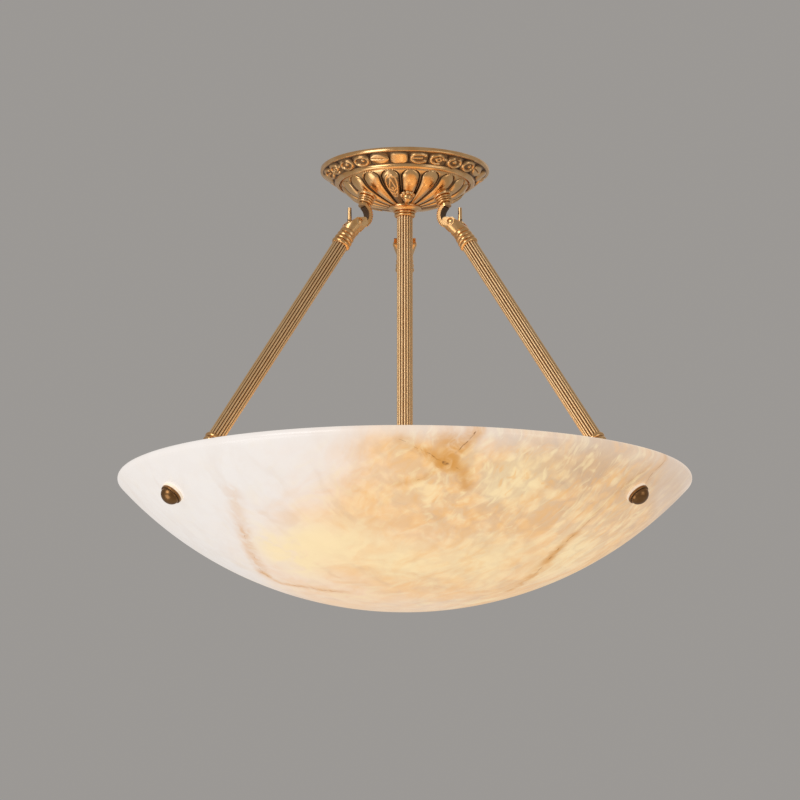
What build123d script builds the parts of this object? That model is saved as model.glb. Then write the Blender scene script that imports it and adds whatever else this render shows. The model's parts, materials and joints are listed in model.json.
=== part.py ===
"""Bowl pendant: a lobed brass canopy, a reeded stem and three hooked rods that carry a stone bowl."""

import os
from math import acos, atan2, cos, pi, radians, sin, sqrt

from build123d import *

os.makedirs("parts", exist_ok=True)

# Driving dimensions, in millimetres and degrees. The ceiling is the plane z = 0 and the front is -Y.
# An azimuth is counted from the front, to the right.
ROD_AZIMUTHS = {"left": -60.0, "right": 60.0, "back": 180.0}
LAMP_AZIMUTHS = {"front": 0.0, "right": 120.0, "left": -120.0}

# Bowl
bowl_radius = 250.0
bowl_depth = 115.5
bowl_wall = 12.0
rim_round = 4.3

# Canopy rim with its frieze
canopy_radius = 75.0
lip_height = 3.6
lip_width = 2.2
rim_wall = 3.0
frieze_drop = 8.4
frieze_hollow = 1.2
frieze_units = 24
frieze_phase = -4.3
tongue_length = 9.8
tongue_width = 14.6
tongue_rise = 1.6
tongue_root = 0.4
loop_wall = 2.1
bead_height = 3.2
bead_width = 3.6
bead_swell = 1.4

# Lobed dome
dome_radius = 58.5
dome_depth = 36.5
crown_radius = 115.0
shoulder_radius = 23.5
dome_top_drop = 13.0
dome_wall = 2.4
dome_flange_width = 4.5
dome_flange_height = 2.0
dome_skirt_height = 5.0
dome_skirt_width = 0.8
lobe_count = 18
lobe_depth = 1.9
lobe_cut = 0.11
lobe_phase = 5.8
lobe_lift = 0.6
lobe_least_swell = 0.05

# Boss and stem collar below the dome
boss_radius = 14.8
boss_height = 4.5
boss_seat = 1.8
boss_foot_radius = 10.4
boss_band = 2.0
stem_collar_radius = 9.4
stem_collar_height = 4.8

# Reeded tube, used for the stem and the rods
tube_radius = 7.0
reed_radius = 0.95
reed_count = 16
tube_bore = 5.1
spigot_length = 12.0

# Hooks under the dome
hook_radius = 38.5
hook_out = 12.7
hook_drop = 26.4
hook_width = 9.5
hook_thickness = 4.0
throat_radius = 10.0
throat_back = 3.8
throat_rise = 8.5
hook_tip_height = 13.5
hook_tip_radius = 2.0
hook_tip_end_radius = 1.6
hook_edge_round = 0.8
hook_stud_radius = 4.0
hook_collar_radius = 7.2
hook_collar_height = 6.6
pad_radius = 8.2
pad_rise = 1.2

# Rods and their forked heads
rod_length = 270.0
pin_inset = 50.5
pin_radius = 2.2
pin_head_radius = 3.0
pin_head_height = 1.0
fork_cheek = 4.0
fork_end = 7.8
fork_parallel = 4.0
fork_tip_inset = 3.2
fork_inner_side = 8.0
fork_inner_end = 3.4
fork_outer_side = 4.2
fork_outer_end = 1.4
fork_base = 10.8
fork_round = 2.0
fork_corner_reach = 4.4
head_length = 26.3
head_ring_radius = 8.6
head_neck_radius = 7.2
ring_count = 4
ring_growth = 0.35
ring_overlap = 0.6

# Eye bolts and cap nuts through the bowl
rim_above_pin = 3.5
eye_radius = 6.6
eye_hole_play = 0.6
eye_shank_radius = 3.5
cap_flange_radius = 9.4
cap_flange_height = 2.0
cap_dome_radius = 7.6
cap_dome_height = 7.4
gasket_thickness = 2.0
gasket_radius = 10.0
washer_radius = 9.0
washer_thickness = 1.5
eye_nut_flats = 12.0
eye_nut_height = 4.0

# Petalled rosette on the front of the dome
rosette_azimuth = 4.0
rosette_radius = 4.6
rosette_height = 7.0
rosette_offset = 32.0
petal_count = 8
petal_radius = 2.2
rosette_stud_radius = 2.0
rosette_stud_length = 3.0

# Ceiling bracket and the hollow nipple that clamps the canopy to it
bracket_length = 98.0
bracket_width = 18.0
bracket_sheet = 2.0
bracket_bridge = 52.0
bracket_rise = 10.0
slot_spacing = 76.0
slot_length = 10.0
slot_radius = 2.2
nipple_wall = 1.4
nipple_insert = 26.0
nut_flats = 15.0
nut_height = 4.0
thread_end = 1.0
terminal_length = 13.0
terminal_width = 16.0
terminal_height = 7.0
terminal_way_radius = 1.6
terminal_round = 1.6
terminal_inset = 3.0

# Lamp cluster inside the bowl
lamp_drop = 27.0
cluster_radius = 17.0
cluster_height = 30.0
cluster_flat = 14.5
holder_radius = 13.0
holder_length = 38.0
holder_floor = 4.0
holder_stub_radius = 4.5
holder_stub_length = 6.0
lamp_cap_radius = 7.2
lamp_cap_length = 26.0
lamp_globe_radius = 22.5
lamp_neck_radius = 10.0
lamp_neck_stand = 2.0
lamp_neck_flare = 1.0

# Clearances
fit_play = 0.1
seat_play = 0.15
hook_play = 0.6
cheek_play = 1.0
rim_play = 0.3
holder_play = 0.4

# Derived sizes
CEILING = Plane.XY
UP = Vector(0, 0, 1)

crown_centre = crown_radius - dome_depth
shoulder_reach = dome_radius - shoulder_radius
shoulder_centre = crown_centre - sqrt((crown_radius - shoulder_radius) ** 2 - shoulder_reach**2)
shoulder_share = (crown_centre - shoulder_centre) / (crown_radius - shoulder_radius)

spigot_radius = tube_bore - fit_play
reed_core_radius = tube_radius - reed_radius

slot_width = hook_width + 2 * cheek_play
fork_width = slot_width + 2 * fork_cheek
pin_hole_radius = pin_radius + fit_play
bend_radius = pin_radius + hook_play + hook_thickness / 2


def dome_outline(height: float, inset: float) -> float:
    """Radius of the dome's crest at a height, drawn in by an inset."""
    crown = crown_radius - inset
    if height < crown_centre - crown * shoulder_share:
        return sqrt(crown**2 - (crown_centre - height) ** 2)
    return shoulder_reach + sqrt((shoulder_radius - inset) ** 2 - (height - shoulder_centre) ** 2)


def radial_plane(azimuth: float) -> Plane:
    """Upright plane through the canopy axis: x runs outward, y runs up, z runs round the canopy."""
    outward = Vector(sin(radians(azimuth)), -cos(radians(azimuth)), 0)
    return Plane(origin=(0, 0, 0), x_dir=outward, z_dir=outward.cross(UP))


def crown_plane(azimuth: float, radius: float, rise: float = 0.0) -> Plane:
    """Plane square to the dome's crown at a radius, facing away from it, lifted by a rise."""
    section = radial_plane(azimuth)
    tilt = Vector(radius, -sqrt(crown_radius**2 - radius**2), 0) * (1 / crown_radius)
    foot = tilt * (crown_radius + rise) + Vector(0, crown_centre, 0)
    return Plane(
        origin=section.from_local_coords(foot),
        x_dir=section.z_dir,
        z_dir=section.from_local_coords(tilt),
    )


# The hook pin hangs outside and below the hook's foot on the dome; the rods run from it to the bowl.
hook_foot = crown_centre - sqrt(crown_radius**2 - hook_radius**2)
upper_pin = Vector(hook_radius + hook_out, hook_foot - hook_drop, 0)
lower_pin_radius = bowl_radius - pin_inset
rod_run = lower_pin_radius - upper_pin.X
rod_fall = sqrt(rod_length**2 - rod_run**2)
lower_pin = Vector(lower_pin_radius, upper_pin.Y - rod_fall, 0)
rod_along = Vector(rod_run / rod_length, -rod_fall / rod_length, 0)

# The bowl is part of a sphere whose centre lies above the rim, and the rounded rim is its widest place.
rim_height = lower_pin.Y + rim_above_pin
bowl_bottom = rim_height - bowl_depth
sphere_radius = ((bowl_radius - rim_round) ** 2 / (bowl_depth - 2 * rim_round) + bowl_depth) / 2
sphere_centre = bowl_bottom + sphere_radius
inner_radius = sphere_radius - bowl_wall
bolt_along = (lower_pin - Vector(0, sphere_centre, 0)).normalized()
bolt_reach = sphere_radius - (lower_pin - Vector(0, sphere_centre, 0)).length


def head_plane(azimuth: float, pin: Vector, along: Vector) -> Plane:
    """Plane at a rod's pin: z runs from the pin into the rod, y lies along the pin."""
    section = radial_plane(azimuth)
    across = Vector(-along.Y, along.X, 0)
    return Plane(
        origin=section.from_local_coords(pin),
        x_dir=section.from_local_coords(across),
        z_dir=section.from_local_coords(along),
    )


def bolt_plane(azimuth: float) -> Plane:
    """Plane at the lower pin: z runs square through the bowl's wall, y lies along the pin."""
    return head_plane(azimuth, lower_pin, bolt_along)


def cap_arc(radius: float, foot: float, rise: float) -> tuple[Vector, Vector, Vector]:
    """Edge, middle and crown of a spherical cap's section; a negative rise turns it down."""
    ball = (radius**2 + rise**2) / (2 * rise)
    half = atan2(radius, abs(ball) - abs(rise)) / 2
    middle = Vector(abs(ball) * sin(half), foot + rise - ball + ball * cos(half))
    return Vector(radius, foot), middle, Vector(0, foot + rise)


def keep(part: Part, name: str) -> None:
    """Label a finished piece and write it."""
    part.label = name
    export_step(part, f"parts/{name}.step")


# Canopy rim: lip against the ceiling, hollow frieze with tongues and loops, bead below
skirt_radius = dome_outline(-dome_top_drop, 0.0) + dome_skirt_width
rim_bore = skirt_radius + rim_play
ledge_height = -dome_top_drop + dome_skirt_height
flange_radius = skirt_radius + dome_flange_width
frieze_top = Vector(canopy_radius - lip_width, -lip_height)
frieze_foot = Vector(rim_bore + bead_width, -lip_height - frieze_drop)
frieze_out = Vector(frieze_top.Y - frieze_foot.Y, frieze_foot.X - frieze_top.X).normalized()
frieze_middle = (frieze_top + frieze_foot) * 0.5 - frieze_out * frieze_hollow
bead_foot = Vector(rim_bore, frieze_foot.Y - bead_height)
bead_out = Vector(frieze_foot.Y - bead_foot.Y, bead_foot.X - frieze_foot.X).normalized()
bead_middle = (frieze_foot + bead_foot) * 0.5 + bead_out * bead_swell
ledge_radius = flange_radius + rim_play
inner_wall_top = canopy_radius - lip_width - rim_wall

with BuildPart() as canopy_rim:
    with BuildSketch(Plane.XZ):
        with BuildLine():
            Polyline(
                (bead_foot.X, bead_foot.Y),
                (rim_bore, ledge_height),
                (ledge_radius, ledge_height),
                (ledge_radius, ledge_height + dome_flange_height),
                (inner_wall_top, -lip_height / 2),
                (inner_wall_top, 0),
                (canopy_radius, 0),
                (canopy_radius, -lip_height),
                (frieze_top.X, frieze_top.Y),
            )
            ThreePointArc(frieze_top, frieze_middle, frieze_foot)
            ThreePointArc(frieze_foot, bead_middle, bead_foot)
        make_face()
    revolve(axis=Axis.Z)
    for unit in range(frieze_units):
        section = radial_plane(frieze_phase + 360.0 / frieze_units * unit)
        tongue_plane = Plane(
            origin=section.from_local_coords(frieze_middle - frieze_out * tongue_root),
            x_dir=section.z_dir,
            z_dir=section.from_local_coords(frieze_out),
        )
        with BuildSketch(tongue_plane):
            Ellipse(tongue_width / 2, tongue_length / 2)
            if unit % 2:
                Ellipse(tongue_width / 2 - loop_wall, tongue_length / 2 - loop_wall, mode=Mode.SUBTRACT)
        extrude(amount=tongue_root + tongue_rise)
keep(canopy_rim.part, "canopy_rim")

# Lobed dome: scalloped sections from the boss up to the skirt, hollow inside, with pads for the hooks
dome_foot = -dome_depth + boss_seat / 3
boss_top = -dome_depth + boss_seat
LOBE_STEPS = (0.0, 0.06, 0.2, 0.42, 0.68, 0.88, 1.0)
cavity_roof = ledge_height + dome_flange_height


def lobe_ring(step: float) -> list[tuple[float, float]]:
    """Valley and crest points, in turn, of the scalloped section at a share of the dome's height."""
    height = dome_foot + (-dome_top_drop - dome_foot) * step
    swell = max(sqrt(abs(sin(pi * step**lobe_lift))), lobe_least_swell)
    crest = dome_outline(height, 0.0)
    radii = (max(dome_outline(height, lobe_depth * swell), crest * (1 - lobe_cut)), crest)
    points = []
    for half in range(2 * lobe_count):
        angle = radians(lobe_phase - 90.0 + (half - 1) * 180.0 / lobe_count)
        points.append((radii[half % 2] * cos(angle), radii[half % 2] * sin(angle)))
    return points


with BuildPart() as canopy_dome:
    for step in LOBE_STEPS:
        with BuildSketch(Plane.XY.offset(dome_foot + (-dome_top_drop - dome_foot) * step)):
            with BuildLine():
                ring = lobe_ring(step)
                valleys, crests = ring[::2], ring[1::2]
                for valley, crest, following in zip(valleys, crests, valleys[1:] + valleys[:1]):
                    ThreePointArc(valley, crest, following)
            make_face()
    loft(ruled=True)
    with BuildSketch(Plane.XY.offset(-dome_top_drop)):
        Circle(skirt_radius)
    extrude(amount=dome_skirt_height)
    with BuildSketch(Plane.XY.offset(ledge_height)):
        Circle(flange_radius)
    extrude(amount=dome_flange_height)
    for azimuth in ROD_AZIMUTHS.values():
        with BuildSketch(crown_plane(azimuth, hook_radius, pad_rise)):
            Circle(pad_radius)
        extrude(amount=-(pad_rise + lobe_depth + dome_wall))
    with BuildSketch(crown_plane(rosette_azimuth, rosette_offset)):
        Circle(rosette_radius + petal_radius)
    extrude(amount=-(lobe_depth + dome_wall))
    # Cavity, a wall's thickness inside the valleys of the lobes
    inset = lobe_depth + dome_wall
    roof_radius = skirt_radius - inset
    knee_height = crown_centre - (crown_radius - inset) * shoulder_share
    knee_radius = dome_outline(knee_height, inset)
    floor_height = boss_top + dome_wall
    with BuildSketch(Plane.XZ):
        with BuildLine():
            Polyline(
                (0, cavity_roof),
                (roof_radius, cavity_roof),
                (roof_radius, -dome_top_drop),
                (knee_radius, knee_height),
                (boss_radius, floor_height),
                (0, floor_height),
                close=True,
            )
        make_face()
    revolve(axis=Axis.Z, mode=Mode.SUBTRACT)
    # Flat seats inside for the hook nuts, then the holes
    for azimuth in ROD_AZIMUTHS.values():
        with BuildSketch(crown_plane(azimuth, hook_radius, -inset - dome_wall)):
            Circle(pad_radius)
        extrude(amount=dome_wall + lobe_depth)
        with BuildSketch(crown_plane(azimuth, hook_radius, pad_rise)):
            Circle(hook_stud_radius + fit_play)
        extrude(amount=-(pad_rise + inset + 2 * dome_wall), mode=Mode.SUBTRACT)
    with BuildSketch(crown_plane(rosette_azimuth, rosette_offset)):
        Circle(rosette_stud_radius + fit_play)
    extrude(amount=-(rosette_stud_length + fit_play), mode=Mode.SUBTRACT)
    with BuildSketch(Plane.XY.offset(boss_top)):
        Circle(boss_radius + fit_play)
    extrude(amount=-boss_seat, mode=Mode.SUBTRACT)
    with BuildSketch(Plane.XY.offset(boss_top)):
        Circle(tube_bore)
    extrude(amount=dome_wall, mode=Mode.SUBTRACT)
keep(canopy_dome.part, "canopy_dome")

# Boss ring under the dome, with a hollow foot
boss_foot = boss_top - boss_height
with BuildPart() as canopy_boss:
    with BuildSketch(Plane.XZ):
        with BuildLine():
            Polyline(
                (boss_radius, boss_top - boss_band),
                (boss_radius, boss_top),
                (tube_bore, boss_top),
                (tube_bore, boss_foot),
                (boss_foot_radius, boss_foot),
            )
            RadiusArc((boss_foot_radius, boss_foot), (boss_radius, boss_top - boss_band), boss_height)
        make_face()
    revolve(axis=Axis.Z)
keep(canopy_boss.part, "canopy_boss")

# Two-ring collar that locks the stem below the boss
collar_foot = boss_foot - stem_collar_height
collar_middle = boss_foot - stem_collar_height / 2
with BuildPart() as stem_collar:
    with BuildSketch(Plane.XZ):
        with BuildLine():
            waist = stem_collar_radius - stem_collar_height / 4
            Polyline(
                (waist, collar_foot),
                (tube_bore, collar_foot),
                (tube_bore, boss_foot),
                (waist, boss_foot),
            )
            for ring_top in (boss_foot, collar_middle):
                ThreePointArc(
                    (waist, ring_top),
                    (stem_collar_radius, ring_top - stem_collar_height / 4),
                    (waist, ring_top - stem_collar_height / 2),
                )
        make_face()
    revolve(axis=Axis.Z)
keep(stem_collar.part, "stem_collar")

# Rosette on a short stud: a bud in a ring of petals
with BuildPart() as rosette:
    with BuildSketch(Plane.XZ):
        with BuildLine():
            Polyline(
                (0, rosette_height),
                (0, -rosette_stud_length),
                (rosette_stud_radius, -rosette_stud_length),
                (rosette_stud_radius, 0),
                (rosette_radius, 0),
                (rosette_radius, rosette_height / 4),
            )
            ThreePointArc(*cap_arc(rosette_radius, rosette_height / 4, rosette_height * 3 / 4))
        make_face()
    revolve(axis=Axis.Z)
    with PolarLocations(rosette_radius, petal_count):
        Sphere(petal_radius)
    with BuildSketch():
        Circle(2 * rosette_radius)
        Circle(rosette_stud_radius, mode=Mode.SUBTRACT)
    extrude(amount=-rosette_stud_length, mode=Mode.SUBTRACT)

with BuildPart(crown_plane(rosette_azimuth, rosette_offset)) as dome_rosette:
    add(rosette.part)
keep(dome_rosette.part, "dome_rosette")

# Hook, drawn in the upright plane of its rod: a throat, a bend under the pin and an upright tip
throat_centre = upper_pin + Vector(-throat_back, throat_rise, 0)
throat_to_bend = upper_pin - throat_centre
lean = atan2(throat_to_bend.Y, throat_to_bend.X)
lean -= acos((throat_radius - bend_radius) / throat_to_bend.length)
tangent_side = Vector(cos(lean), sin(lean), 0)
throat_end = throat_centre + tangent_side * throat_radius
bend_start = upper_pin + tangent_side * bend_radius
bend_end = upper_pin + Vector(bend_radius, 0, 0)
bend_side = (tangent_side + Vector(1, 0, 0)).normalized()
stud_along = Vector(hook_radius, hook_foot - crown_centre, 0) * (1 / crown_radius)
stud_foot = Vector(hook_radius, hook_foot, 0)
foot_arm = stud_foot - throat_centre
stud_reach = -foot_arm.dot(stud_along) - sqrt(
    foot_arm.dot(stud_along) ** 2 - foot_arm.length**2 + throat_radius**2
)
throat_start = stud_foot + stud_along * stud_reach
throat_side = ((throat_start - throat_centre).normalized() + tangent_side).normalized()
collar_end = pad_rise + hook_collar_height
nut_seat = -(lobe_depth + 2 * dome_wall)
stud_end = nut_seat - nut_height - thread_end

with BuildPart() as hook:
    with BuildSketch():
        with BuildLine():
            ThreePointArc(throat_start, throat_centre + throat_side * throat_radius, throat_end)
            Line(throat_end, bend_start)
            ThreePointArc(bend_start, upper_pin + bend_side * bend_radius, bend_end)
        trace(line_width=hook_thickness)
    extrude(amount=hook_width / 2, both=True)
    fillet(hook.edges().filter_by(Axis.Z, reverse=True), hook_edge_round)
    tip_plane = Plane(origin=bend_end, x_dir=(0, 0, 1), z_dir=(0, 1, 0))
    with BuildSketch(tip_plane.offset(-hook_thickness / 4)):
        Circle(hook_tip_radius)
    with BuildSketch(tip_plane.offset(hook_tip_height)):
        Circle(hook_tip_end_radius)
    loft()
    stud_plane = Plane(origin=stud_foot, x_dir=(0, 0, 1), z_dir=stud_along)
    with BuildSketch(stud_plane.offset(collar_end)):
        Circle(hook_width / 2)
    extrude(amount=stud_reach - collar_end + hook_thickness / 4)
    with BuildSketch(stud_plane.offset(stud_end)):
        Circle(hook_stud_radius)
    extrude(amount=collar_end - stud_end)

# Three-ring collar round the hook's stud
collar_step = hook_collar_height / 3
with BuildPart() as hook_collar:
    with BuildSketch(Plane.XZ):
        with BuildLine():
            bore = hook_stud_radius + fit_play
            waist = hook_collar_radius - collar_step / 2
            Polyline((waist, 0), (bore, 0), (bore, hook_collar_height), (waist, hook_collar_height))
            for ring in range(3):
                ThreePointArc(
                    (waist, ring * collar_step),
                    (hook_collar_radius, (ring + 0.5) * collar_step),
                    (waist, (ring + 1) * collar_step),
                )
        make_face()
    revolve(axis=Axis.Z)

for side, azimuth in ROD_AZIMUTHS.items():
    with BuildPart(radial_plane(azimuth)) as placed_hook:
        add(hook.part)
    keep(placed_hook.part, f"hook_{side}")
    with BuildPart(crown_plane(azimuth, hook_radius, pad_rise)) as placed_collar:
        add(hook_collar.part)
    keep(placed_collar.part, f"hook_collar_{side}")

# Nuts on the hook studs inside the dome
with BuildPart() as hook_nuts:
    for azimuth in ROD_AZIMUTHS.values():
        with BuildSketch(crown_plane(azimuth, hook_radius, nut_seat)):
            RegularPolygon(nut_flats / 2, 6, major_radius=False)
            Circle(hook_stud_radius + fit_play, mode=Mode.SUBTRACT)
        extrude(amount=-nut_height)
keep(hook_nuts.part, "hook_nuts")


def reeded_section() -> None:
    """Draw the tube's section: a core with round reeds and a bore."""
    Circle(reed_core_radius)
    with PolarLocations(reed_core_radius, reed_count):
        Circle(reed_radius)
    Circle(tube_bore, mode=Mode.SUBTRACT)


# Lamp cluster heights hang from the bowl's rim
lamp_height = rim_height - lamp_drop
cluster_top = lamp_height + cluster_height / 2
stem_length = collar_foot - cluster_top

with BuildPart() as stem_tube:
    with BuildSketch(Plane.XY.offset(cluster_top)):
        reeded_section()
    extrude(amount=stem_length)
keep(stem_tube.part, "stem_tube")

# Forked rod head: rings at the tube, two cheeks that narrow to the hook, and a spigot
ring_start = fork_base - ring_overlap
ring_height = (head_length - ring_start) / ring_count
with BuildPart() as rod_head:
    with BuildSketch(Plane.YZ):
        with BuildLine():
            Polyline(
                (fork_width / 2, fork_parallel),
                (fork_width / 2, -fork_end),
                (-fork_width / 2, -fork_end),
                (-fork_width / 2, fork_parallel),
                (-head_neck_radius, fork_base),
                (head_neck_radius, fork_base),
                close=True,
            )
        make_face()
    extrude(amount=fork_width, both=True)
    with BuildSketch(Plane.XZ) as side_view:
        with BuildLine():
            Polyline(
                (fork_outer_side, -fork_outer_end),
                (-fork_tip_inset, -fork_end),
                (-fork_inner_side, -fork_inner_end),
                (-head_neck_radius, fork_base),
                (head_neck_radius, fork_base),
                close=True,
            )
        make_face()
        fillet(side_view.vertices().sort_by(Axis.Y)[:3], fork_round)
    extrude(amount=fork_width, both=True, mode=Mode.INTERSECT)
    with BuildSketch(Plane.XY.offset(fork_base)):
        Circle(head_neck_radius)
    with BuildSketch(Plane.XY.offset(-fork_end)):
        Circle(fork_width / 2 + fork_corner_reach)
    loft(mode=Mode.INTERSECT)
    with BuildSketch(Plane.XZ):
        with BuildLine():
            Polyline(
                (head_neck_radius, ring_start),
                (0, ring_start),
                (0, head_length + spigot_length),
                (spigot_radius, head_length + spigot_length),
                (spigot_radius, head_length),
                (head_neck_radius, head_length),
            )
            for number in range(ring_count):
                start = ring_start + number * ring_height
                swell = head_ring_radius - (ring_count - 1 - number) * ring_growth
                ThreePointArc(
                    (head_neck_radius, start),
                    (swell, start + ring_height / 2),
                    (head_neck_radius, start + ring_height),
                )
        make_face()
    revolve(axis=Axis.Z)
    slot_floor = eye_radius + cheek_play
    with BuildSketch(Plane.YZ):
        with Locations((0, (slot_floor - fork_end) / 2)):
            Rectangle(slot_width, slot_floor + fork_end)
    extrude(amount=fork_width, both=True, mode=Mode.SUBTRACT)
    with BuildSketch(Plane.XZ):
        Circle(pin_hole_radius)
    extrude(amount=fork_width, both=True, mode=Mode.SUBTRACT)

# Cross pin with a domed head on each end
pin_half = fork_width / 2 + fit_play
with BuildPart() as cross_pin:
    with BuildSketch(Plane.XY):
        with BuildLine():
            Line((0, pin_half + pin_head_height), (0, -pin_half - pin_head_height))
            Polyline(
                (pin_head_radius, -pin_half),
                (pin_radius, -pin_half),
                (pin_radius, pin_half),
                (pin_head_radius, pin_half),
            )
            for end in (-1, 1):
                ThreePointArc(*cap_arc(pin_head_radius, end * pin_half, end * pin_head_height))
        make_face()
    revolve(axis=Axis.Y)

for side, azimuth in ROD_AZIMUTHS.items():
    upper = head_plane(azimuth, upper_pin, rod_along)
    lower = head_plane(azimuth, lower_pin, -rod_along)
    with BuildPart() as rod_tube:
        with BuildSketch(upper.offset(head_length)):
            reeded_section()
        extrude(amount=rod_length - 2 * head_length)
    keep(rod_tube.part, f"rod_tube_{side}")
    for end, plane in (("upper", upper), ("lower", lower)):
        with BuildPart(plane) as placed_head:
            add(rod_head.part)
        keep(placed_head.part, f"rod_{end}_head_{side}")
        with BuildPart(plane) as placed_pin:
            add(cross_pin.part)
        keep(placed_pin.part, f"rod_{end}_pin_{side}")


def sphere_arc(radius: float) -> tuple[Vector, Vector, Vector]:
    """Foot, middle and rim points of a sphere's section, up to the rim's plane."""
    half = acos((sphere_centre - rim_height) / radius) / 2
    return (
        Vector(0, sphere_centre - radius),
        Vector(radius * sin(half), sphere_centre - radius * cos(half)),
        Vector(radius * sin(2 * half), rim_height),
    )


# Stone bowl: a spherical cup with a rounded rim and three bolt holes
outer_arc = sphere_arc(sphere_radius)
inner_arc = sphere_arc(inner_radius)
with BuildPart() as bowl:
    with BuildSketch(Plane.XZ) as bowl_section:
        with BuildLine():
            ThreePointArc(*outer_arc)
            Line(outer_arc[2], inner_arc[2])
            ThreePointArc(*inner_arc)
            Line(inner_arc[0], outer_arc[0])
        make_face()
        fillet(bowl_section.vertices().group_by(Axis.Y)[-1], rim_round)
    revolve(axis=Axis.Z)
    for azimuth in ROD_AZIMUTHS.values():
        with BuildSketch(bolt_plane(azimuth)):
            Circle(eye_shank_radius + hook_play)
        extrude(amount=bolt_reach + bowl_wall, mode=Mode.SUBTRACT)
keep(bowl.part, "bowl")

# Eye bolt, drawn at the lower pin: z runs out through the wall
eye_width = hook_width
eye_hole = pin_radius + eye_hole_play
shank_root = (eye_hole + eye_radius) / 2
cap_seat = bolt_reach + seat_play + gasket_thickness
shank_end = cap_seat + cap_flange_height + cap_dome_height / 2
with BuildPart() as eye_bolt:
    with BuildSketch(Plane.XZ):
        Circle(eye_radius)
    extrude(amount=eye_width / 2, both=True)
    with BuildSketch(Plane.XY.offset(shank_root)):
        Circle(eye_shank_radius)
    extrude(amount=shank_end - shank_root)
    with BuildSketch(Plane.XZ):
        Circle(eye_hole)
    extrude(amount=eye_width, both=True, mode=Mode.SUBTRACT)

# Cap nut with a flange and a domed crown, closed at the end
with BuildPart() as cap_nut:
    with BuildSketch(Plane.XZ):
        with BuildLine():
            bore = eye_shank_radius + fit_play
            bore_end = shank_end + fit_play
            crown_foot = cap_seat + cap_flange_height
            crown_end = crown_foot + cap_dome_height
            Polyline(
                (cap_dome_radius, crown_foot),
                (cap_flange_radius, crown_foot - cap_flange_height / 3),
                (cap_flange_radius, cap_seat),
                (bore, cap_seat),
                (bore, bore_end),
                (0, bore_end),
                (0, crown_end),
            )
            ThreePointArc(*cap_arc(cap_dome_radius, crown_foot, cap_dome_height))
        make_face()
    revolve(axis=Axis.Z)

for side, azimuth in ROD_AZIMUTHS.items():
    with BuildPart(bolt_plane(azimuth)) as placed_bolt:
        add(eye_bolt.part)
    keep(placed_bolt.part, f"eye_bolt_{side}")
    with BuildPart(bolt_plane(azimuth)) as placed_cap:
        add(cap_nut.part)
    keep(placed_cap.part, f"cap_nut_{side}")

# Gaskets shaped to the wall, inside and outside, with a washer and a nut on the inner ones
sphere_point = Vector(0, 0, sphere_centre)
inner_seat = bolt_reach - bowl_wall - seat_play
shank_hole = eye_shank_radius + fit_play
with BuildPart() as outer_gaskets:
    for azimuth in ROD_AZIMUTHS.values():
        with BuildSketch(bolt_plane(azimuth).offset(cap_seat)):
            Circle(gasket_radius)
            Circle(shank_hole, mode=Mode.SUBTRACT)
        extrude(amount=-2 * gasket_thickness)
    with Locations(sphere_point):
        Sphere(sphere_radius + seat_play, mode=Mode.SUBTRACT)
keep(outer_gaskets.part, "outer_gaskets")

with BuildPart() as inner_gaskets:
    for azimuth in ROD_AZIMUTHS.values():
        with BuildSketch(bolt_plane(azimuth).offset(inner_seat - gasket_thickness)):
            Circle(gasket_radius)
            Circle(shank_hole, mode=Mode.SUBTRACT)
        extrude(amount=2 * gasket_thickness)
    with Locations(sphere_point):
        Sphere(inner_radius - seat_play, mode=Mode.INTERSECT)
keep(inner_gaskets.part, "inner_gaskets")

with BuildPart() as bowl_washers:
    for azimuth in ROD_AZIMUTHS.values():
        with BuildSketch(bolt_plane(azimuth).offset(inner_seat - gasket_thickness)):
            Circle(washer_radius)
            Circle(shank_hole, mode=Mode.SUBTRACT)
        extrude(amount=-washer_thickness)
keep(bowl_washers.part, "bowl_washers")

with BuildPart() as eye_nuts:
    for azimuth in ROD_AZIMUTHS.values():
        with BuildSketch(bolt_plane(azimuth).offset(inner_seat - gasket_thickness - washer_thickness)):
            RegularPolygon(eye_nut_flats / 2, 6, major_radius=False)
            Circle(shank_hole, mode=Mode.SUBTRACT)
        extrude(amount=-eye_nut_height)
keep(eye_nuts.part, "eye_nuts")

# Ceiling bracket: a folded strap with a slotted foot at each end
bridge_top = -bracket_rise
foot_inner = bracket_bridge / 2 + bracket_rise / 2
with BuildPart() as ceiling_bracket:
    with BuildSketch(Plane.XZ):
        with BuildLine():
            half = bracket_sheet / 2
            Polyline(
                (-bracket_length / 2, -half),
                (-foot_inner, -half),
                (-bracket_bridge / 2, bridge_top - half),
                (bracket_bridge / 2, bridge_top - half),
                (foot_inner, -half),
                (bracket_length / 2, -half),
            )
        trace(line_width=bracket_sheet)
    extrude(amount=bracket_width / 2, both=True)
    with BuildSketch(CEILING):
        with Locations((-slot_spacing / 2, 0), (slot_spacing / 2, 0)):
            SlotOverall(slot_length, 2 * slot_radius)
    extrude(amount=-2 * bracket_sheet, mode=Mode.SUBTRACT)
    with BuildSketch(Plane.XY.offset(bridge_top)):
        Circle(spigot_radius + fit_play)
    extrude(amount=-bracket_sheet, mode=Mode.SUBTRACT)
keep(ceiling_bracket.part, "ceiling_bracket")

# Hollow nipple from the bracket down into the stem, with a nut on each side of the bridge
nipple_top = bridge_top + nut_height + thread_end
with BuildPart() as nipple:
    with BuildSketch(Plane.XY.offset(nipple_top)):
        Circle(spigot_radius)
        Circle(spigot_radius - nipple_wall, mode=Mode.SUBTRACT)
    extrude(amount=collar_foot - nipple_insert - nipple_top)
keep(nipple.part, "nipple")

with BuildPart() as bracket_nuts:
    for seat, height in ((bridge_top, nut_height), (bridge_top - bracket_sheet, -nut_height)):
        with BuildSketch(Plane.XY.offset(seat)):
            RegularPolygon(nut_flats / 2, 6, major_radius=False)
            Circle(spigot_radius + fit_play, mode=Mode.SUBTRACT)
        extrude(amount=height)
keep(bracket_nuts.part, "bracket_nuts")

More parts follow.
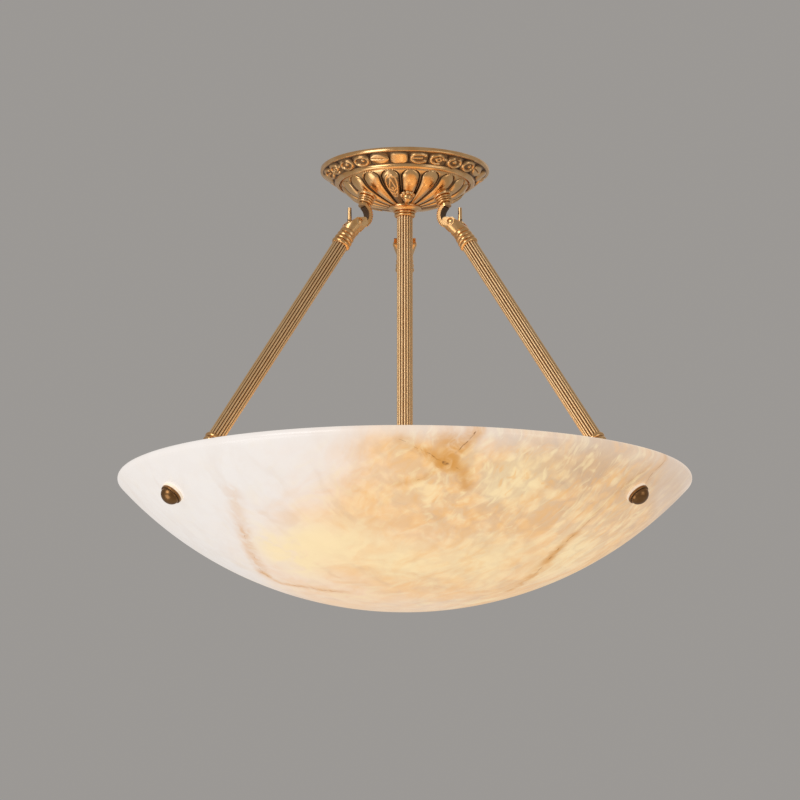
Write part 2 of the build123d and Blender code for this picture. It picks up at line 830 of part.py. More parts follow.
# Terminal block on the bridge, with two wire ways
terminal_x = (bracket_bridge - terminal_length) / 2 - terminal_inset
with BuildPart() as terminal_block:
    with BuildSketch(Plane.XY.offset(bridge_top)):
        with Locations((terminal_x, 0)):
            RectangleRounded(terminal_length, terminal_width, terminal_round)
    extrude(amount=terminal_height)
    with BuildSketch(Plane.YZ.offset(terminal_x)):
        with Locations((0, bridge_top + terminal_height / 2)):
            with GridLocations(terminal_width / 2, 1, 2, 1):
                Circle(terminal_way_radius)
    extrude(amount=terminal_length, both=True, mode=Mode.SUBTRACT)
keep(terminal_block.part, "terminal_block")

# Lamp cluster: a turned body with three flats, each with a bore for a lampholder's stub
with BuildPart() as lamp_cluster:
    with BuildSketch(Plane.XZ):
        with BuildLine():
            shoulder = cluster_height / 4
            Polyline(
                (cluster_radius, lamp_height + shoulder),
                (tube_radius, cluster_top),
                (spigot_radius, cluster_top),
                (spigot_radius, cluster_top + spigot_length),
                (spigot_radius - nipple_wall, cluster_top + spigot_length),
                (spigot_radius - nipple_wall, lamp_height),
                (0, lamp_height),
                (0, lamp_height - cluster_height / 2 - shoulder / 2),
            )
            ThreePointArc(*cap_arc(cluster_radius, lamp_height - shoulder, (shoulder - cluster_height) / 2))
            Line((cluster_radius, lamp_height - shoulder), (cluster_radius, lamp_height + shoulder))
        make_face()
    revolve(axis=Axis.Z)
    for azimuth in LAMP_AZIMUTHS.values():
        section = radial_plane(azimuth)
        flat = Plane(origin=section.from_local_coords((cluster_flat, lamp_height, 0)), z_dir=section.x_dir)
        with BuildSketch(flat):
            Rectangle(2 * cluster_height, 2 * cluster_height)
        extrude(amount=cluster_radius, mode=Mode.SUBTRACT)
        with BuildSketch(flat):
            Circle(holder_stub_radius + fit_play)
        extrude(amount=-(holder_stub_length + fit_play), mode=Mode.SUBTRACT)
keep(lamp_cluster.part, "lamp_cluster")

# Lampholder, drawn with z outward from the cluster's flat
with BuildPart() as lampholder:
    with BuildSketch():
        Circle(holder_radius)
    extrude(amount=holder_length)
    chamfer(lampholder.edges().group_by(Axis.Z)[0], holder_floor / 2)
    with BuildSketch(Plane.XY.offset(holder_floor)):
        Circle(lamp_cap_radius + holder_play)
    extrude(amount=holder_length, mode=Mode.SUBTRACT)
    with BuildSketch():
        Circle(holder_stub_radius)
    extrude(amount=-holder_stub_length)

# Lamp: a screw cap that stands on the holder's floor and a round glass envelope on top of it
with BuildPart() as lamp_cap:
    with BuildSketch(Plane.XY.offset(holder_floor)):
        Circle(lamp_cap_radius)
    extrude(amount=lamp_cap_length)

glass_foot = holder_floor + lamp_cap_length
neck_length = holder_length - glass_foot + lamp_neck_stand
globe_rise = sqrt(lamp_globe_radius**2 - lamp_neck_radius**2)
globe_centre = glass_foot + neck_length + globe_rise
with BuildPart() as lamp_glass:
    with BuildSketch(Plane.XZ):
        with BuildLine():
            Polyline(
                (0, globe_centre + lamp_globe_radius),
                (0, glass_foot),
                (lamp_cap_radius, glass_foot),
                (lamp_cap_radius, glass_foot + neck_length - lamp_neck_flare),
                (lamp_neck_radius, glass_foot + neck_length),
            )
            ThreePointArc(
                (lamp_neck_radius, globe_centre - globe_rise),
                (lamp_globe_radius, globe_centre),
                (0, globe_centre + lamp_globe_radius),
            )
        make_face()
    revolve(axis=Axis.Z)

for side, azimuth in LAMP_AZIMUTHS.items():
    section = radial_plane(azimuth)
    holder_foot = section.from_local_coords((cluster_flat, lamp_height, 0))
    holder_plane = Plane(origin=holder_foot, z_dir=section.x_dir)
    for name, shape in (("lampholder", lampholder), ("lamp_cap", lamp_cap), ("lamp_glass", lamp_glass)):
        with BuildPart(holder_plane) as placed_lamp:
            add(shape.part)
        keep(placed_lamp.part, f"{name}_{side}")
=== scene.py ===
"""Dress the bowl pendant: carved antique brass, glowing alabaster and opal glass in a plain studio."""

import json
import logging
from dataclasses import dataclass, field, replace
from enum import Enum
from math import acos, cos, pi, radians, sin, sqrt
from typing import Any, Sequence, Union

import bmesh
import bpy
import numpy as np
from mathutils import Matrix, Vector


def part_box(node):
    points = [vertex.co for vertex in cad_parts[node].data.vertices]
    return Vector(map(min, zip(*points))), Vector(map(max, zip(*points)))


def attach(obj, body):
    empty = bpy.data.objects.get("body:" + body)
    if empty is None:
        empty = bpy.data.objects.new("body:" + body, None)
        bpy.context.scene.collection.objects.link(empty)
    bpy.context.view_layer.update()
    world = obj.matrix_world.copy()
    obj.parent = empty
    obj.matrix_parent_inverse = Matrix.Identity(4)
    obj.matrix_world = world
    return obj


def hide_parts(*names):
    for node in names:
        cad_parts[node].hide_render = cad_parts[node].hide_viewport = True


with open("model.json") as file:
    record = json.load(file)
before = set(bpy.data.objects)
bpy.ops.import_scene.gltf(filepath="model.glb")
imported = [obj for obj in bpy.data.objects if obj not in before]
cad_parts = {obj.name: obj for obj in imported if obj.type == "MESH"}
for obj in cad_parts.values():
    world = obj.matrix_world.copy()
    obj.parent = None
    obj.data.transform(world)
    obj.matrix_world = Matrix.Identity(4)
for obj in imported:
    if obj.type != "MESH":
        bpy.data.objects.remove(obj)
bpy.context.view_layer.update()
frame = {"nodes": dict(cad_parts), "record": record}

LOG = logging.getLogger("bowl_pendant")
PATINA_AND_SHADE_MARK = "patina_and_shade"
ROD_AZIMUTHS = {"left": -60.0, "right": 60.0, "back": 180.0}
Colour = tuple[float, float, float, float]
Number = Union[int, float]
Operand = Union["Sock", Number, Sequence[float]]


def mm(size: float) -> float:
    """Millimetres as metres."""
    return size * 0.001


class Body(Enum):
    """Rigid bodies of the lamp."""

    CANOPY = "canopy"
    ROD_LEFT = "rod_left"
    ROD_RIGHT = "rod_right"
    ROD_BACK = "rod_back"
    BOWL = "bowl"


class Slot(Enum):
    """Material slots of the record."""

    BRASS = "antique_brass"
    CAP_BRASS = "cap_brass"
    ALABASTER = "alabaster"
    RUBBER = "rubber"
    STEEL = "zinc_steel"
    PLASTIC = "terminal_plastic"
    PORCELAIN = "porcelain"
    LAMP_METAL = "lamp_metal"
    OPAL = "lamp_opal"


class Motif(Enum):
    """Ornaments of the frieze, in the order in which they repeat."""

    SHIELD = 0
    SCROLL = 1
    CURL = 2
    LOOP = 3
    RING = 4
    LEAF = 5


SLOTS = {row["node"]: Slot(row["material_slot"]) for row in frame["record"]["subparts"]}


class Sock:
    """An output socket that takes part in Python expressions."""

    def __init__(self, book: "ShaderBook", socket: bpy.types.NodeSocket) -> None:
        """Keep the socket and the book that adds nodes for it."""
        self.book = book
        self.socket = socket

    def __add__(self, other: Operand) -> "Sock":
        """Sum."""
        return self.book.maths("ADD", self, other)

    def __radd__(self, other: Operand) -> "Sock":
        """Sum, with the socket second."""
        return self.book.maths("ADD", other, self)

    def __sub__(self, other: Operand) -> "Sock":
        """Difference."""
        return self.book.maths("SUBTRACT", self, other)

    def __rsub__(self, other: Operand) -> "Sock":
        """Difference, with the socket second."""
        return self.book.maths("SUBTRACT", other, self)

    def __mul__(self, other: Operand) -> "Sock":
        """Product."""
        return self.book.maths("MULTIPLY", self, other)

    def __rmul__(self, other: Operand) -> "Sock":
        """Product, with the socket second."""
        return self.book.maths("MULTIPLY", other, self)

    def __truediv__(self, other: Operand) -> "Sock":
        """Quotient."""
        return self.book.maths("DIVIDE", self, other)

    def __rtruediv__(self, other: Operand) -> "Sock":
        """Quotient, with the socket second."""
        return self.book.maths("DIVIDE", other, self)

    def __pow__(self, other: Operand) -> "Sock":
        """Power."""
        return self.book.maths("POWER", self, other)

    def least(self, other: Operand) -> "Sock":
        """Smaller of two values."""
        return self.book.maths("MINIMUM", self, other)

    def most(self, other: Operand) -> "Sock":
        """Larger of two values."""
        return self.book.maths("MAXIMUM", self, other)

    def smooth(self, low: float, high: float) -> "Sock":
        """Smooth step from 0 at low to 1 at high.

        Args:
            low: Value that gives 0.
            high: Value that gives 1.

        Returns:
            The eased value.
        """
        return self.book.node(
            "ShaderNodeMapRange",
            {"interpolation_type": "SMOOTHSTEP"},
            {"Value": self, "From Min": low, "From Max": high},
        )

    def length(self) -> "Sock":
        """Length of a vector."""
        return self.book.node("ShaderNodeVectorMath", {"operation": "LENGTH"}, {0: self}, "Value")

    def dot(self, other: Operand) -> "Sock":
        """Dot product of two vectors."""
        settings = {"operation": "DOT_PRODUCT"}
        return self.book.node("ShaderNodeVectorMath", settings, {0: self, 1: other}, "Value")

    def unit(self) -> "Sock":
        """Vector of length 1 in the same direction."""
        return self.book.node("ShaderNodeVectorMath", {"operation": "NORMALIZE"}, {0: self})

    def part(self, axis: str) -> "Sock":
        """One coordinate of a vector, named X, Y or Z."""
        return self.book.node("ShaderNodeSeparateXYZ", {}, {0: self}, axis)


class ShaderBook:
    """Node tree of one material or world, with short calls that add nodes to it."""

    def __init__(self, tree: bpy.types.NodeTree) -> None:
        """Start from an empty tree."""
        self.tree = tree
        tree.nodes.clear()

    def join(self, value: Any, socket: bpy.types.NodeSocket) -> None:
        """Link a socket to a value, or set it where the value is a constant."""
        if isinstance(value, Sock):
            self.tree.links.new(value.socket, socket)
        else:
            socket.default_value = value

    def node(
        self,
        kind: str,
        settings: dict[str, Any] | None = None,
        sockets: dict[Any, Any] | None = None,
        output: int | str = 0,
    ) -> Sock:
        """Add a node of any kind.

        Args:
            kind: Blender's name of the node type.
            settings: Properties of the node, set before its sockets.
            sockets: Links or constants by input name or number.
            output: Name or number of the output that is wanted.

        Returns:
            The wanted output.
        """
        made = self.tree.nodes.new(kind)
        for name, value in (settings or {}).items():
            setattr(made, name, value)
        for key, value in (sockets or {}).items():
            self.join(value, made.inputs[key])
        return Sock(self, made.outputs[output])

    @staticmethod
    def is_vector(operand: Operand) -> bool:
        """True for a colour, a vector or their sockets."""
        if isinstance(operand, Sock):
            return operand.socket.type in {"VECTOR", "RGBA"}
        return not isinstance(operand, (int, float))

    def maths(self, operation: str, first: Operand, second: Operand) -> Sock:
        """Add a Math node, or a Vector Math node where an operand is a vector.

        Args:
            operation: Name of the operation.
            first: Left operand.
            second: Right operand.

        Returns:
            The result.
        """
        vectors = [self.is_vector(operand) for operand in (first, second)]
        if not any(vectors):
            return self.node("ShaderNodeMath", {"operation": operation}, {0: first, 1: second})
        if operation == "MULTIPLY" and not all(vectors):
            vector, scale = (first, second) if vectors[0] else (second, first)
            return self.node("ShaderNodeVectorMath", {"operation": "SCALE"}, {0: vector, "Scale": scale})
        return self.node("ShaderNodeVectorMath", {"operation": operation}, {0: first, 1: second})

    def mix(self, share: Operand, first: Any, second: Any) -> Sock:
        """Blend two colours.

        Args:
            share: 0 gives the first colour and 1 the second.
            first: Colour or colour socket.
            second: Colour or colour socket.

        Returns:
            The blended colour.
        """
        return self.node("ShaderNodeMix", {"data_type": "RGBA"}, {0: share, 6: first, 7: second}, 2)

    def place(self) -> Sock:
        """Position on the object, in metres."""
        return self.node("ShaderNodeTexCoord", output="Object")

    def noise(self, place: Sock, scale: float, detail: float = 3.0, twist: float = 0.0) -> Sock:
        """Cloudy noise from 0 to 1.

        Args:
            place: Position to read the noise at.
            scale: Clouds per metre.
            detail: Octaves of finer noise.
            twist: How far the noise is bent by itself.

        Returns:
            The noise value.
        """
        sockets = {"Vector": place, "Scale": scale, "Detail": detail, "Distortion": twist}
        return self.node("ShaderNodeTexNoise", {}, sockets)

    def drift(self, place: Sock, scale: float, reach: float) -> Sock:
        """Position moved by noise, so that straight lines on it wander.

        Args:
            place: Position to move.
            scale: Wanderings per metre.
            reach: Largest move, in metres.

        Returns:
            The moved position.
        """
        cloud = self.node("ShaderNodeTexNoise", {}, {"Vector": place, "Scale": scale, "Detail": 3.0}, 1)
        return place + (cloud - (0.5, 0.5, 0.5)) * (2.0 * reach)

    def bump(self, height: Sock, depth: float, strength: float = 1.0) -> Sock:
        """Normal that follows a height map of a given depth in metres."""
        return self.node("ShaderNodeBump", {}, {"Height": height, "Distance": depth, "Strength": strength})

    def surface(self, **sockets: Any) -> None:
        """Add the Principled shader and the output.

        Args:
            sockets: Links or constants by input name, with underscores for spaces.
        """
        named = {name.replace("_", " "): value for name, value in sockets.items()}
        shader = self.node("ShaderNodeBsdfPrincipled", {}, named)
        end = self.tree.nodes.new("ShaderNodeOutputMaterial")
        self.join(shader, end.inputs["Surface"])


class Finish:
    """Base of every finish: makes one material from its nodes."""

    name: str

    def material(self) -> bpy.types.Material:
        """Make the finish's material."""
        made = bpy.data.materials.new(self.name)
        made.use_nodes = True
        self.draw(ShaderBook(made.node_tree))
        return made

    def draw(self, book: ShaderBook) -> None:
        """Add the finish's nodes to a book."""
        raise NotImplementedError


@dataclass(frozen=True)
class BrassFinish(Finish):
    """Antiqued brass: satin gold, brown patina with painted shade in the hollows, and bright worn edges."""

    name: str
    gold: Colour
    bright: Colour
    # Colour of the hollows: brown patina together with painted shade.
    patina_and_shade: Colour
    roughness: float
    # Reach of the ambient occlusion that paints shade and patina into the hollows.
    occlusion_reach: float = mm(3.0)
    edge_reach: float = mm(0.8)
    grain: float = 0.2
    cloud_scale: float = 70.0
    speck_scale: float = 1400.0
    bright_share: float = 0.55
    wear_share: float = 0.75

    def hollow(self, book: ShaderBook, place: Sock, cloud: Sock) -> Sock:
        """How dark a place lies: brown patina together with painted shade, from how shut in it is (ambient
        occlusion) and from the darkening carved into the mesh.

        Args:
            book: Book of the material.
            place: Position on the object.
            cloud: Noise that breaks up the patina's edge.

        Returns:
            0 on open metal and 1 in a full hollow.
        """
        # Painted shade: ambient occlusion darkens shut-in places, on top of the patina they hold.
        shade = book.node(
            "ShaderNodeAmbientOcclusion",
            {"samples": 16, "only_local": True},
            {"Distance": self.occlusion_reach},
            "AO",
        )
        carved = book.node("ShaderNodeAttribute", {"attribute_name": PATINA_AND_SHADE_MARK}, output="Fac")
        shut = 1.0 - (shade + (cloud - 0.5) * 0.25).smooth(0.36, 0.80)
        return shut.most(carved * (0.75 + cloud * 0.4)).least(1.0)

    def edge(self, book: ShaderBook, place: Sock) -> Sock:
        """How far a place is an outer edge, where polish wears the metal bright.

        Args:
            book: Book of the material.
            place: Position on the object.

        Returns:
            0 on flat metal and 1 on a sharp edge.
        """
        within = book.node(
            "ShaderNodeAmbientOcclusion",
            {"samples": 8, "only_local": True, "inside": True},
            {"Distance": self.edge_reach},
            "AO",
        )
        return 1.0 - within.smooth(0.45, 0.92)

    def draw(self, book: ShaderBook) -> None:
        """Mix gold, wear, and patina with painted shade, by how open each place lies."""
        place = book.place()
        cloud = book.noise(place, self.cloud_scale, 4.0, 0.6)
        speck = book.noise(place, self.speck_scale, 2.0)
        hollow = self.hollow(book, place, cloud)
        edge = self.edge(book, place) * (1.0 - hollow)
        tone = book.mix(cloud.smooth(0.3, 0.75) * self.bright_share, self.gold, self.bright)
        worn = book.mix(edge * self.wear_share, tone, self.bright)
        # Painted shade and patina darken the hollows.
        aged_and_shaded = book.mix(hollow, worn, self.patina_and_shade)
        book.surface(
            Base_Color=aged_and_shaded,
            Metallic=1.0 - hollow * 0.5,
            Roughness=self.roughness + (speck - 0.5) * 0.12 + hollow * 0.25 + cloud * 0.06,
            Normal=book.bump(speck + cloud * 2.0, mm(0.02), self.grain),
        )


@dataclass(frozen=True)
class ReedFinish(BrassFinish):
    """Antiqued brass on a reeded tube, with grooves between the reeds browned by patina and painted shade."""

    foot: tuple[float, float, float] = (0.0, 0.0, 0.0)
    along: tuple[float, float, float] = (0.0, 0.0, 1.0)
    groove_radius: float = mm(6.30)
    crest_radius: float = mm(6.62)
    worn_radius: float = mm(6.99)

    def away(self, place: Sock) -> Sock:
        """Distance of a place from the axis."""
        arm = place - self.foot
        return (arm - arm.dot(self.along) * self.along).length()

    def hollow(self, book: ShaderBook, place: Sock, cloud: Sock) -> Sock:
        """Patina with painted shade where the surface lies near the tube's axis, down in the grooves."""
        # Painted shade with patina: the grooves darken by their depth below the crests.
        return 1.0 - self.away(place).smooth(self.groove_radius, self.crest_radius)

    def edge(self, book: ShaderBook, place: Sock) -> Sock:
        """Bright wear on the crests of the reeds."""
        return self.away(place).smooth(self.crest_radius, self.worn_radius)


@dataclass(frozen=True)
class HookFinish(ReedFinish):
    """Antiqued brass on a hook, with a brown back behind the beads and a throat browned by patina and painted
    shade.
    """

    groove_radius: float = mm(8.3)
    crest_radius: float = mm(9.2)
    back_start: float = mm(11.55)
    back_end: float = mm(12.35)
    soft: float = mm(0.3)

    def edge(self, book: ShaderBook, place: Sock) -> Sock:
        """Bright wear on the strap's outer edges."""
        return BrassFinish.edge(self, book, place)

    def hollow(self, book: ShaderBook, place: Sock, cloud: Sock) -> Sock:
        """Patina with painted shade in the throat and wherever the hook is shut in, and a brown back behind
        the beads.
        """
        away = self.away(place)
        # Painted shade with patina: the throat darkens near the hook's curl.
        throat = 1.0 - away.smooth(self.groove_radius, self.crest_radius)
        back = away.smooth(self.back_start, self.back_start + self.soft)
        back = back - away.smooth(self.back_end, self.back_end + self.soft)
        return BrassFinish.hollow(self, book, place, cloud).most(throat * 0.9).most(back * 0.85)


@dataclass(frozen=True)
class Vein:
    """One vein of the stone, as places on the bowl's outer face.

    Each place is an azimuth from the front, in degrees to the right, and a drop below the rim in millimetres.
    """

    places: tuple[tuple[float, float], ...]
    line: float
    halo: float
    strength: float


@dataclass(frozen=True)
class AlabasterFinish(Finish):
    """Lit alabaster: milky at the sides, warm feathery clouds over the lamps, and amber veins."""

    name: str
    veins: tuple[Vein, ...]
    glows: tuple[tuple[float, float, float], ...]
    centre: tuple[float, float, float]
    radius: float
    rim_height: float
    milk: Colour = (0.85, 0.795, 0.755, 1.0)
    rose: Colour = (0.91, 0.72, 0.575, 1.0)
    cream: Colour = (0.95, 0.615, 0.31, 1.0)
    honey: Colour = (0.89, 0.49, 0.175, 1.0)
    pearl: Colour = (0.99, 0.775, 0.44, 1.0)
    haze: Colour = (0.60, 0.42, 0.28, 1.0)
    amber: Colour = (0.68, 0.31, 0.060, 1.0)
    brown: Colour = (0.20, 0.075, 0.018, 1.0)
    body_share: float = 0.45
    glow: float = 0.74
    coat: float = 0.25
    coat_roughness: float = 0.12
    grain_along: tuple[float, float, float] = (0.62, -0.30, 0.72)
    flakes_along: tuple[float, float, float] = (0.45, -0.30, 0.84)
    smoke_along: tuple[float, float, float] = (-0.50, -0.55, 0.66)
    grain_scale: float = 48.0
    flakes_scale: float = 105.0
    smoke_scale: float = 40.0

    def spot(self, azimuth: float, drop: float) -> Vector:
        """Point of the outer face at an azimuth in degrees and a drop below the rim in millimetres."""
        height = self.rim_height - mm(drop)
        reach = sqrt(self.radius**2 - (height - self.centre[2]) ** 2)
        return Vector((reach * sin(radians(azimuth)), -reach * cos(radians(azimuth)), height))

    def span_distance(self, place: Sock, start: Vector, end: Vector) -> Sock:
        """Distance from a place to a straight span."""
        arm = place - tuple(start)
        span = end - start
        share = arm.dot(tuple(span / span.length_squared)).most(0.0).least(1.0)
        return (arm - share * tuple(span)).length()

    def vein_distance(self, place: Sock, vein: Vein) -> Sock:
        """Distance from a place to the nearest span of a vein."""
        spots = [self.spot(*spot) for spot in vein.places]
        spans = [self.span_distance(place, start, end) for start, end in zip(spots, spots[1:])]
        nearest = spans[0]
        for span in spans[1:]:
            nearest = nearest.least(span)
        return nearest

    def feathers(self, book: ShaderBook, skin: Sock, along: Sequence[float], scale: float) -> Sock:
        """Noise drawn out in one direction, like the feathery grain of the stone.

        Args:
            book: Book of the material.
            skin: Position on the outer face.
            along: Direction of the grain, of length 1.
            scale: Feathers per metre across the grain.

        Returns:
            The noise value.
        """
        bent = book.drift(skin, 16.0, mm(16.0))
        drawn = bent - (bent.dot(along) * 0.72) * along
        return book.noise(drawn, scale, 7.0, 1.1)

    def clouds(self, book: ShaderBook, skin: Sock) -> Sock:
        """Colour of the stone without its veins."""
        cloud = book.noise(skin, 11.0, 5.0, 0.9)
        grain = self.feathers(book, skin, self.grain_along, self.grain_scale)
        flakes = self.feathers(book, skin, self.flakes_along, self.flakes_scale)
        smoke = self.feathers(book, skin, self.smoke_along, self.smoke_scale)
        crumple = book.node(
            "ShaderNodeTexVoronoi",
            {"feature": "SMOOTH_F1"},
            {"Vector": book.drift(skin, 60.0, mm(14.0)), "Scale": 70.0, "Smoothness": 0.30},
        )
        side = skin.part("X") + (cloud - 0.5) * 0.12
        drop = self.rim_height - skin.part("Z") + (cloud - 0.5) * 0.025
        right = side.smooth(0.03, 0.19)
        far = side.smooth(0.170, 0.245)
        upper = 1.0 - drop.smooth(mm(20.0), mm(72.0))
        lively = side.smooth(-0.09, 0.06) * (1.0 - far * 0.75)
        lively = lively * (1.0 - drop.smooth(mm(52.0), mm(90.0)) * 0.70)
        pale = upper * (1.0 - side.smooth(-0.06, 0.05))
        warmth = side.smooth(-0.185, 0.05) * (1.0 - far * 0.70) * (1.0 - pale * 0.55)
        body = book.mix(warmth.smooth(0.0, 0.5), self.milk, self.rose)
        body = book.mix(warmth.smooth(0.15, 0.9) * (0.45 + cloud * 0.9).least(1.0), body, self.cream)
        body = book.mix(grain.smooth(0.42, 0.66) * warmth * 0.50, body, self.honey)
        smoky = smoke.smooth(0.48, 0.72) * (0.10 + warmth * 0.30)
        hazy = right * upper * cloud.smooth(0.3, 0.6) * 0.66 + smoky
        body = book.mix(hazy.least(0.7), body, self.haze)
        body = book.mix((1.0 - grain.smooth(0.30, 0.52)) * (0.06 + warmth * 0.55), body, self.pearl)
        for azimuth, fall, reach in self.glows:
            away = (skin - tuple(self.spot(azimuth, fall))).length() + (cloud - 0.5) * 0.05
            patch = (1.0 - away.smooth(mm(reach) * 0.15, mm(reach))) * 0.85
            body = book.mix(patch * (1.0 - grain.smooth(0.46, 0.70) * 0.55), body, self.pearl)
        body = book.mix(crumple.smooth(0.34, 0.72) * (0.04 + lively * 0.36), body, self.haze)
        body = book.mix((1.0 - crumple.smooth(0.08, 0.36)) * lively * 0.44, body, self.pearl)
        body = book.mix(flakes.smooth(0.50, 0.68) * lively * 0.52, body, self.honey)
        body = book.mix((1.0 - flakes.smooth(0.30, 0.48)) * lively * 0.70, body, self.pearl)
        band = (1.0 - drop.smooth(mm(2.0), mm(24.0))) * (0.60 - right * 0.30)
        foot = drop.smooth(mm(107.0), mm(117.0)) * 0.30
        return book.mix(band.most(foot), body, self.milk)

    def draw(self, book: ShaderBook) -> None:
        """Paint clouds and veins, and let the same colours glow."""
        place = book.place()
        skin = (place - self.centre).unit() * self.radius + self.centre
        body = self.clouds(book, skin)
        wandering = book.drift(book.drift(skin, 30.0, mm(4.0)), 150.0, mm(1.6))
        breaks = book.noise(skin, 210.0, 4.0, 0.5)
        fray = book.noise(skin, 75.0, 5.0, 1.2)
        for vein in self.veins:
            distance = self.vein_distance(wandering, vein)
            halo = (1.0 - distance.smooth(0.0, mm(vein.halo))) * (0.25 + fray.smooth(0.30, 0.60) * 0.75)
            core = (1.0 - distance.smooth(0.0, mm(vein.line))) * breaks.smooth(0.34, 0.52)
            body = book.mix(halo * (0.90 * vein.strength), body, self.amber)
            body = book.mix(core * vein.strength, body, self.brown)
        book.surface(
            Base_Color=body * self.body_share,
            Roughness=0.28 + fray * 0.12,
            Coat_Weight=self.coat,
            Coat_Roughness=self.coat_roughness,
            Emission_Color=body,
            Emission_Strength=self.glow,
            Normal=book.bump(fray, mm(0.2), 0.2),
        )


@dataclass(frozen=True)
class PlainFinish(Finish):
    """Steel, porcelain, rubber, plastic or opal glass with mild unevenness."""

    name: str
    colour: Colour
    second: Colour
    roughness: float
    metallic: float = 0.0
    coat: float = 0.0
    glow: float = 0.0
    scale: float = 160.0

    def draw(self, book: ShaderBook) -> None:
        """Mix two near tones and vary the gloss."""
        place = book.place()
        cloud = book.noise(place, self.scale, 4.0, 0.3)
        grain = book.noise(place, self.scale * 9.0, 2.0)
        colour = book.mix(cloud.smooth(0.35, 0.7), self.colour, self.second)
        book.surface(
            Base_Color=colour,
            Metallic=self.metallic,
            Roughness=self.roughness + (grain - 0.5) * 0.12,
            Coat_Weight=self.coat,
            Emission_Color=colour,
            Emission_Strength=self.glow,
            Normal=book.bump(grain, mm(0.03), 0.3),
        )


def section_arc(
    start: Sequence[float],
    middle: Sequence[float],
    end: Sequence[float],
    steps: int,
) -> np.ndarray:
    """Points on the circle through three points of a section.

    Args:
        start: First point.
        middle: Point that the arc passes through.
        end: Last point.
        steps: Number of chords.

    Returns:
        An array of steps + 1 points.
    """
    a, b, c = (np.asarray(point, float) for point in (start, middle, end))
    rows = 2.0 * np.array([b - a, c - a])
    centre = np.linalg.solve(rows, [b @ b - a @ a, c @ c - a @ a])
    first, mid, last = (np.arctan2(*(point - centre)[::-1]) for point in (a, b, c))
    turn = (last - first) % (2 * pi)
    if (mid - first) % (2 * pi) > turn:
        turn -= 2 * pi
    angles = first + turn * np.linspace(0.0, 1.0, steps + 1)
    return centre + np.linalg.norm(a - centre) * np.column_stack([np.cos(angles), np.sin(angles)])


def section_normals(section: np.ndarray) -> np.ndarray:
    """Outward normals of a closed section that runs counter-clockwise."""
    along = np.roll(section, -1, axis=0) - np.roll(section, 1, axis=0)
    outward = np.column_stack([along[:, 1], -along[:, 0]])
    return outward / np.maximum(np.linalg.norm(outward, axis=1, keepdims=True), 1e-9)


def mesh_object(
    name: str,
    points: np.ndarray,
    faces: np.ndarray | list,
    crease: float = 38.0,
    patina_and_shade: np.ndarray | None = None,
) -> bpy.types.Object:
    """Make an object from points and faces.

    Args:
        name: Name of the piece.
        points: Corner places in metres.
        faces: Corner numbers of each face.
        crease: Angle in degrees above which an edge stays sharp.
        patina_and_shade: Darkening of each point by patina and painted shade, from 0 to 1.

    Returns:
        The new object, linked to the scene.
    """
    mesh = bpy.data.meshes.new(name)
    mesh.from_pydata(np.asarray(points, float).tolist(), [], np.asarray(faces).tolist())
    mesh.update()
    mesh.shade_smooth()
    mesh.set_sharp_from_angle(angle=radians(crease))
    if patina_and_shade is not None:
        mark = mesh.attributes.new(PATINA_AND_SHADE_MARK, "FLOAT", "POINT")
        mark.data.foreach_set("value", np.ascontiguousarray(patina_and_shade, dtype=np.float32).ravel())
    made = bpy.data.objects.new(name, mesh)
    bpy.context.scene.collection.objects.link(made)
    return made


def turned(
    name: str,
    section: np.ndarray,
    columns: int,
    relief: np.ndarray | None = None,
    patina_and_shade: np.ndarray | None = None,
    crease: float = 38.0,
) -> bpy.types.Object:
    """Turn a closed section about the lamp's axis, with relief along its normals.

    Args:
        name: Name of the piece.
        section: Radius and height of each point, counter-clockwise.
        columns: Steps round the axis, counted from the front to the right.
        relief: Height of each point above the section, by row and column.
        patina_and_shade: Darkening of each point by patina and painted shade, by row and column.
        crease: Angle in degrees above which an edge stays sharp.

    Returns:
        The new object.
    """
    heights = np.zeros((len(section), columns)) if relief is None else relief
    normals = section_normals(section)
    angles = np.arange(columns) * (2 * pi / columns)
    reach = section[:, :1] + heights * normals[:, :1]
    level = section[:, 1:] + heights * normals[:, 1:]
    points = np.stack([reach * np.sin(angles), -reach * np.cos(angles), level], axis=-1).reshape(-1, 3)
    rows, steps = np.meshgrid(np.arange(len(section)), np.arange(columns), indexing="ij")
    below = (rows + 1) % len(section)
    beside = (steps + 1) % columns
    quads = [(rows, steps), (rows, beside), (below, beside), (below, steps)]
    faces = np.stack([row * columns + step for row, step in quads], axis=-1).reshape(-1, 4)
    return mesh_object(name, points, faces, crease, patina_and_shade)


def balls(name: str, centres: Sequence[Vector], radius: float) -> bpy.types.Object:
    """Small balls of one size as one piece.

    Args:
        name: Name of the piece.
        centres: Centre of each ball.
        radius: Radius of the balls.

    Returns:
        The new object.
    """
    shape = bmesh.new()
    for centre in centres:
        bmesh.ops.create_uvsphere(
            shape, u_segments=14, v_segments=10, radius=radius, matrix=Matrix.Translation(centre)
        )
    mesh = bpy.data.meshes.new(name)
    shape.to_mesh(mesh)
    shape.free()
    mesh.shade_smooth()
    made = bpy.data.objects.new(name, mesh)
    bpy.context.scene.collection.objects.link(made)
    return made


def half_round(distance: np.ndarray, width: float | np.ndarray) -> np.ndarray:
    """Half-round ridge: 1 on the line, 0 at the width."""
    return np.sqrt(np.clip(1.0 - (distance / width) ** 2, 0.0, 1.0))


def ease(value: np.ndarray, low: float, high: float) -> np.ndarray:
    """Smooth step from 0 at low to 1 at high."""
    share = np.clip((value - low) / (high - low), 0.0, 1.0)
    return share * share * (3.0 - 2.0 * share)


def run_along(path: np.ndarray) -> np.ndarray:
    """Distance of each point from a path's start."""
    return np.concatenate([[0.0], np.cumsum(np.linalg.norm(np.diff(path, axis=0), axis=1))])


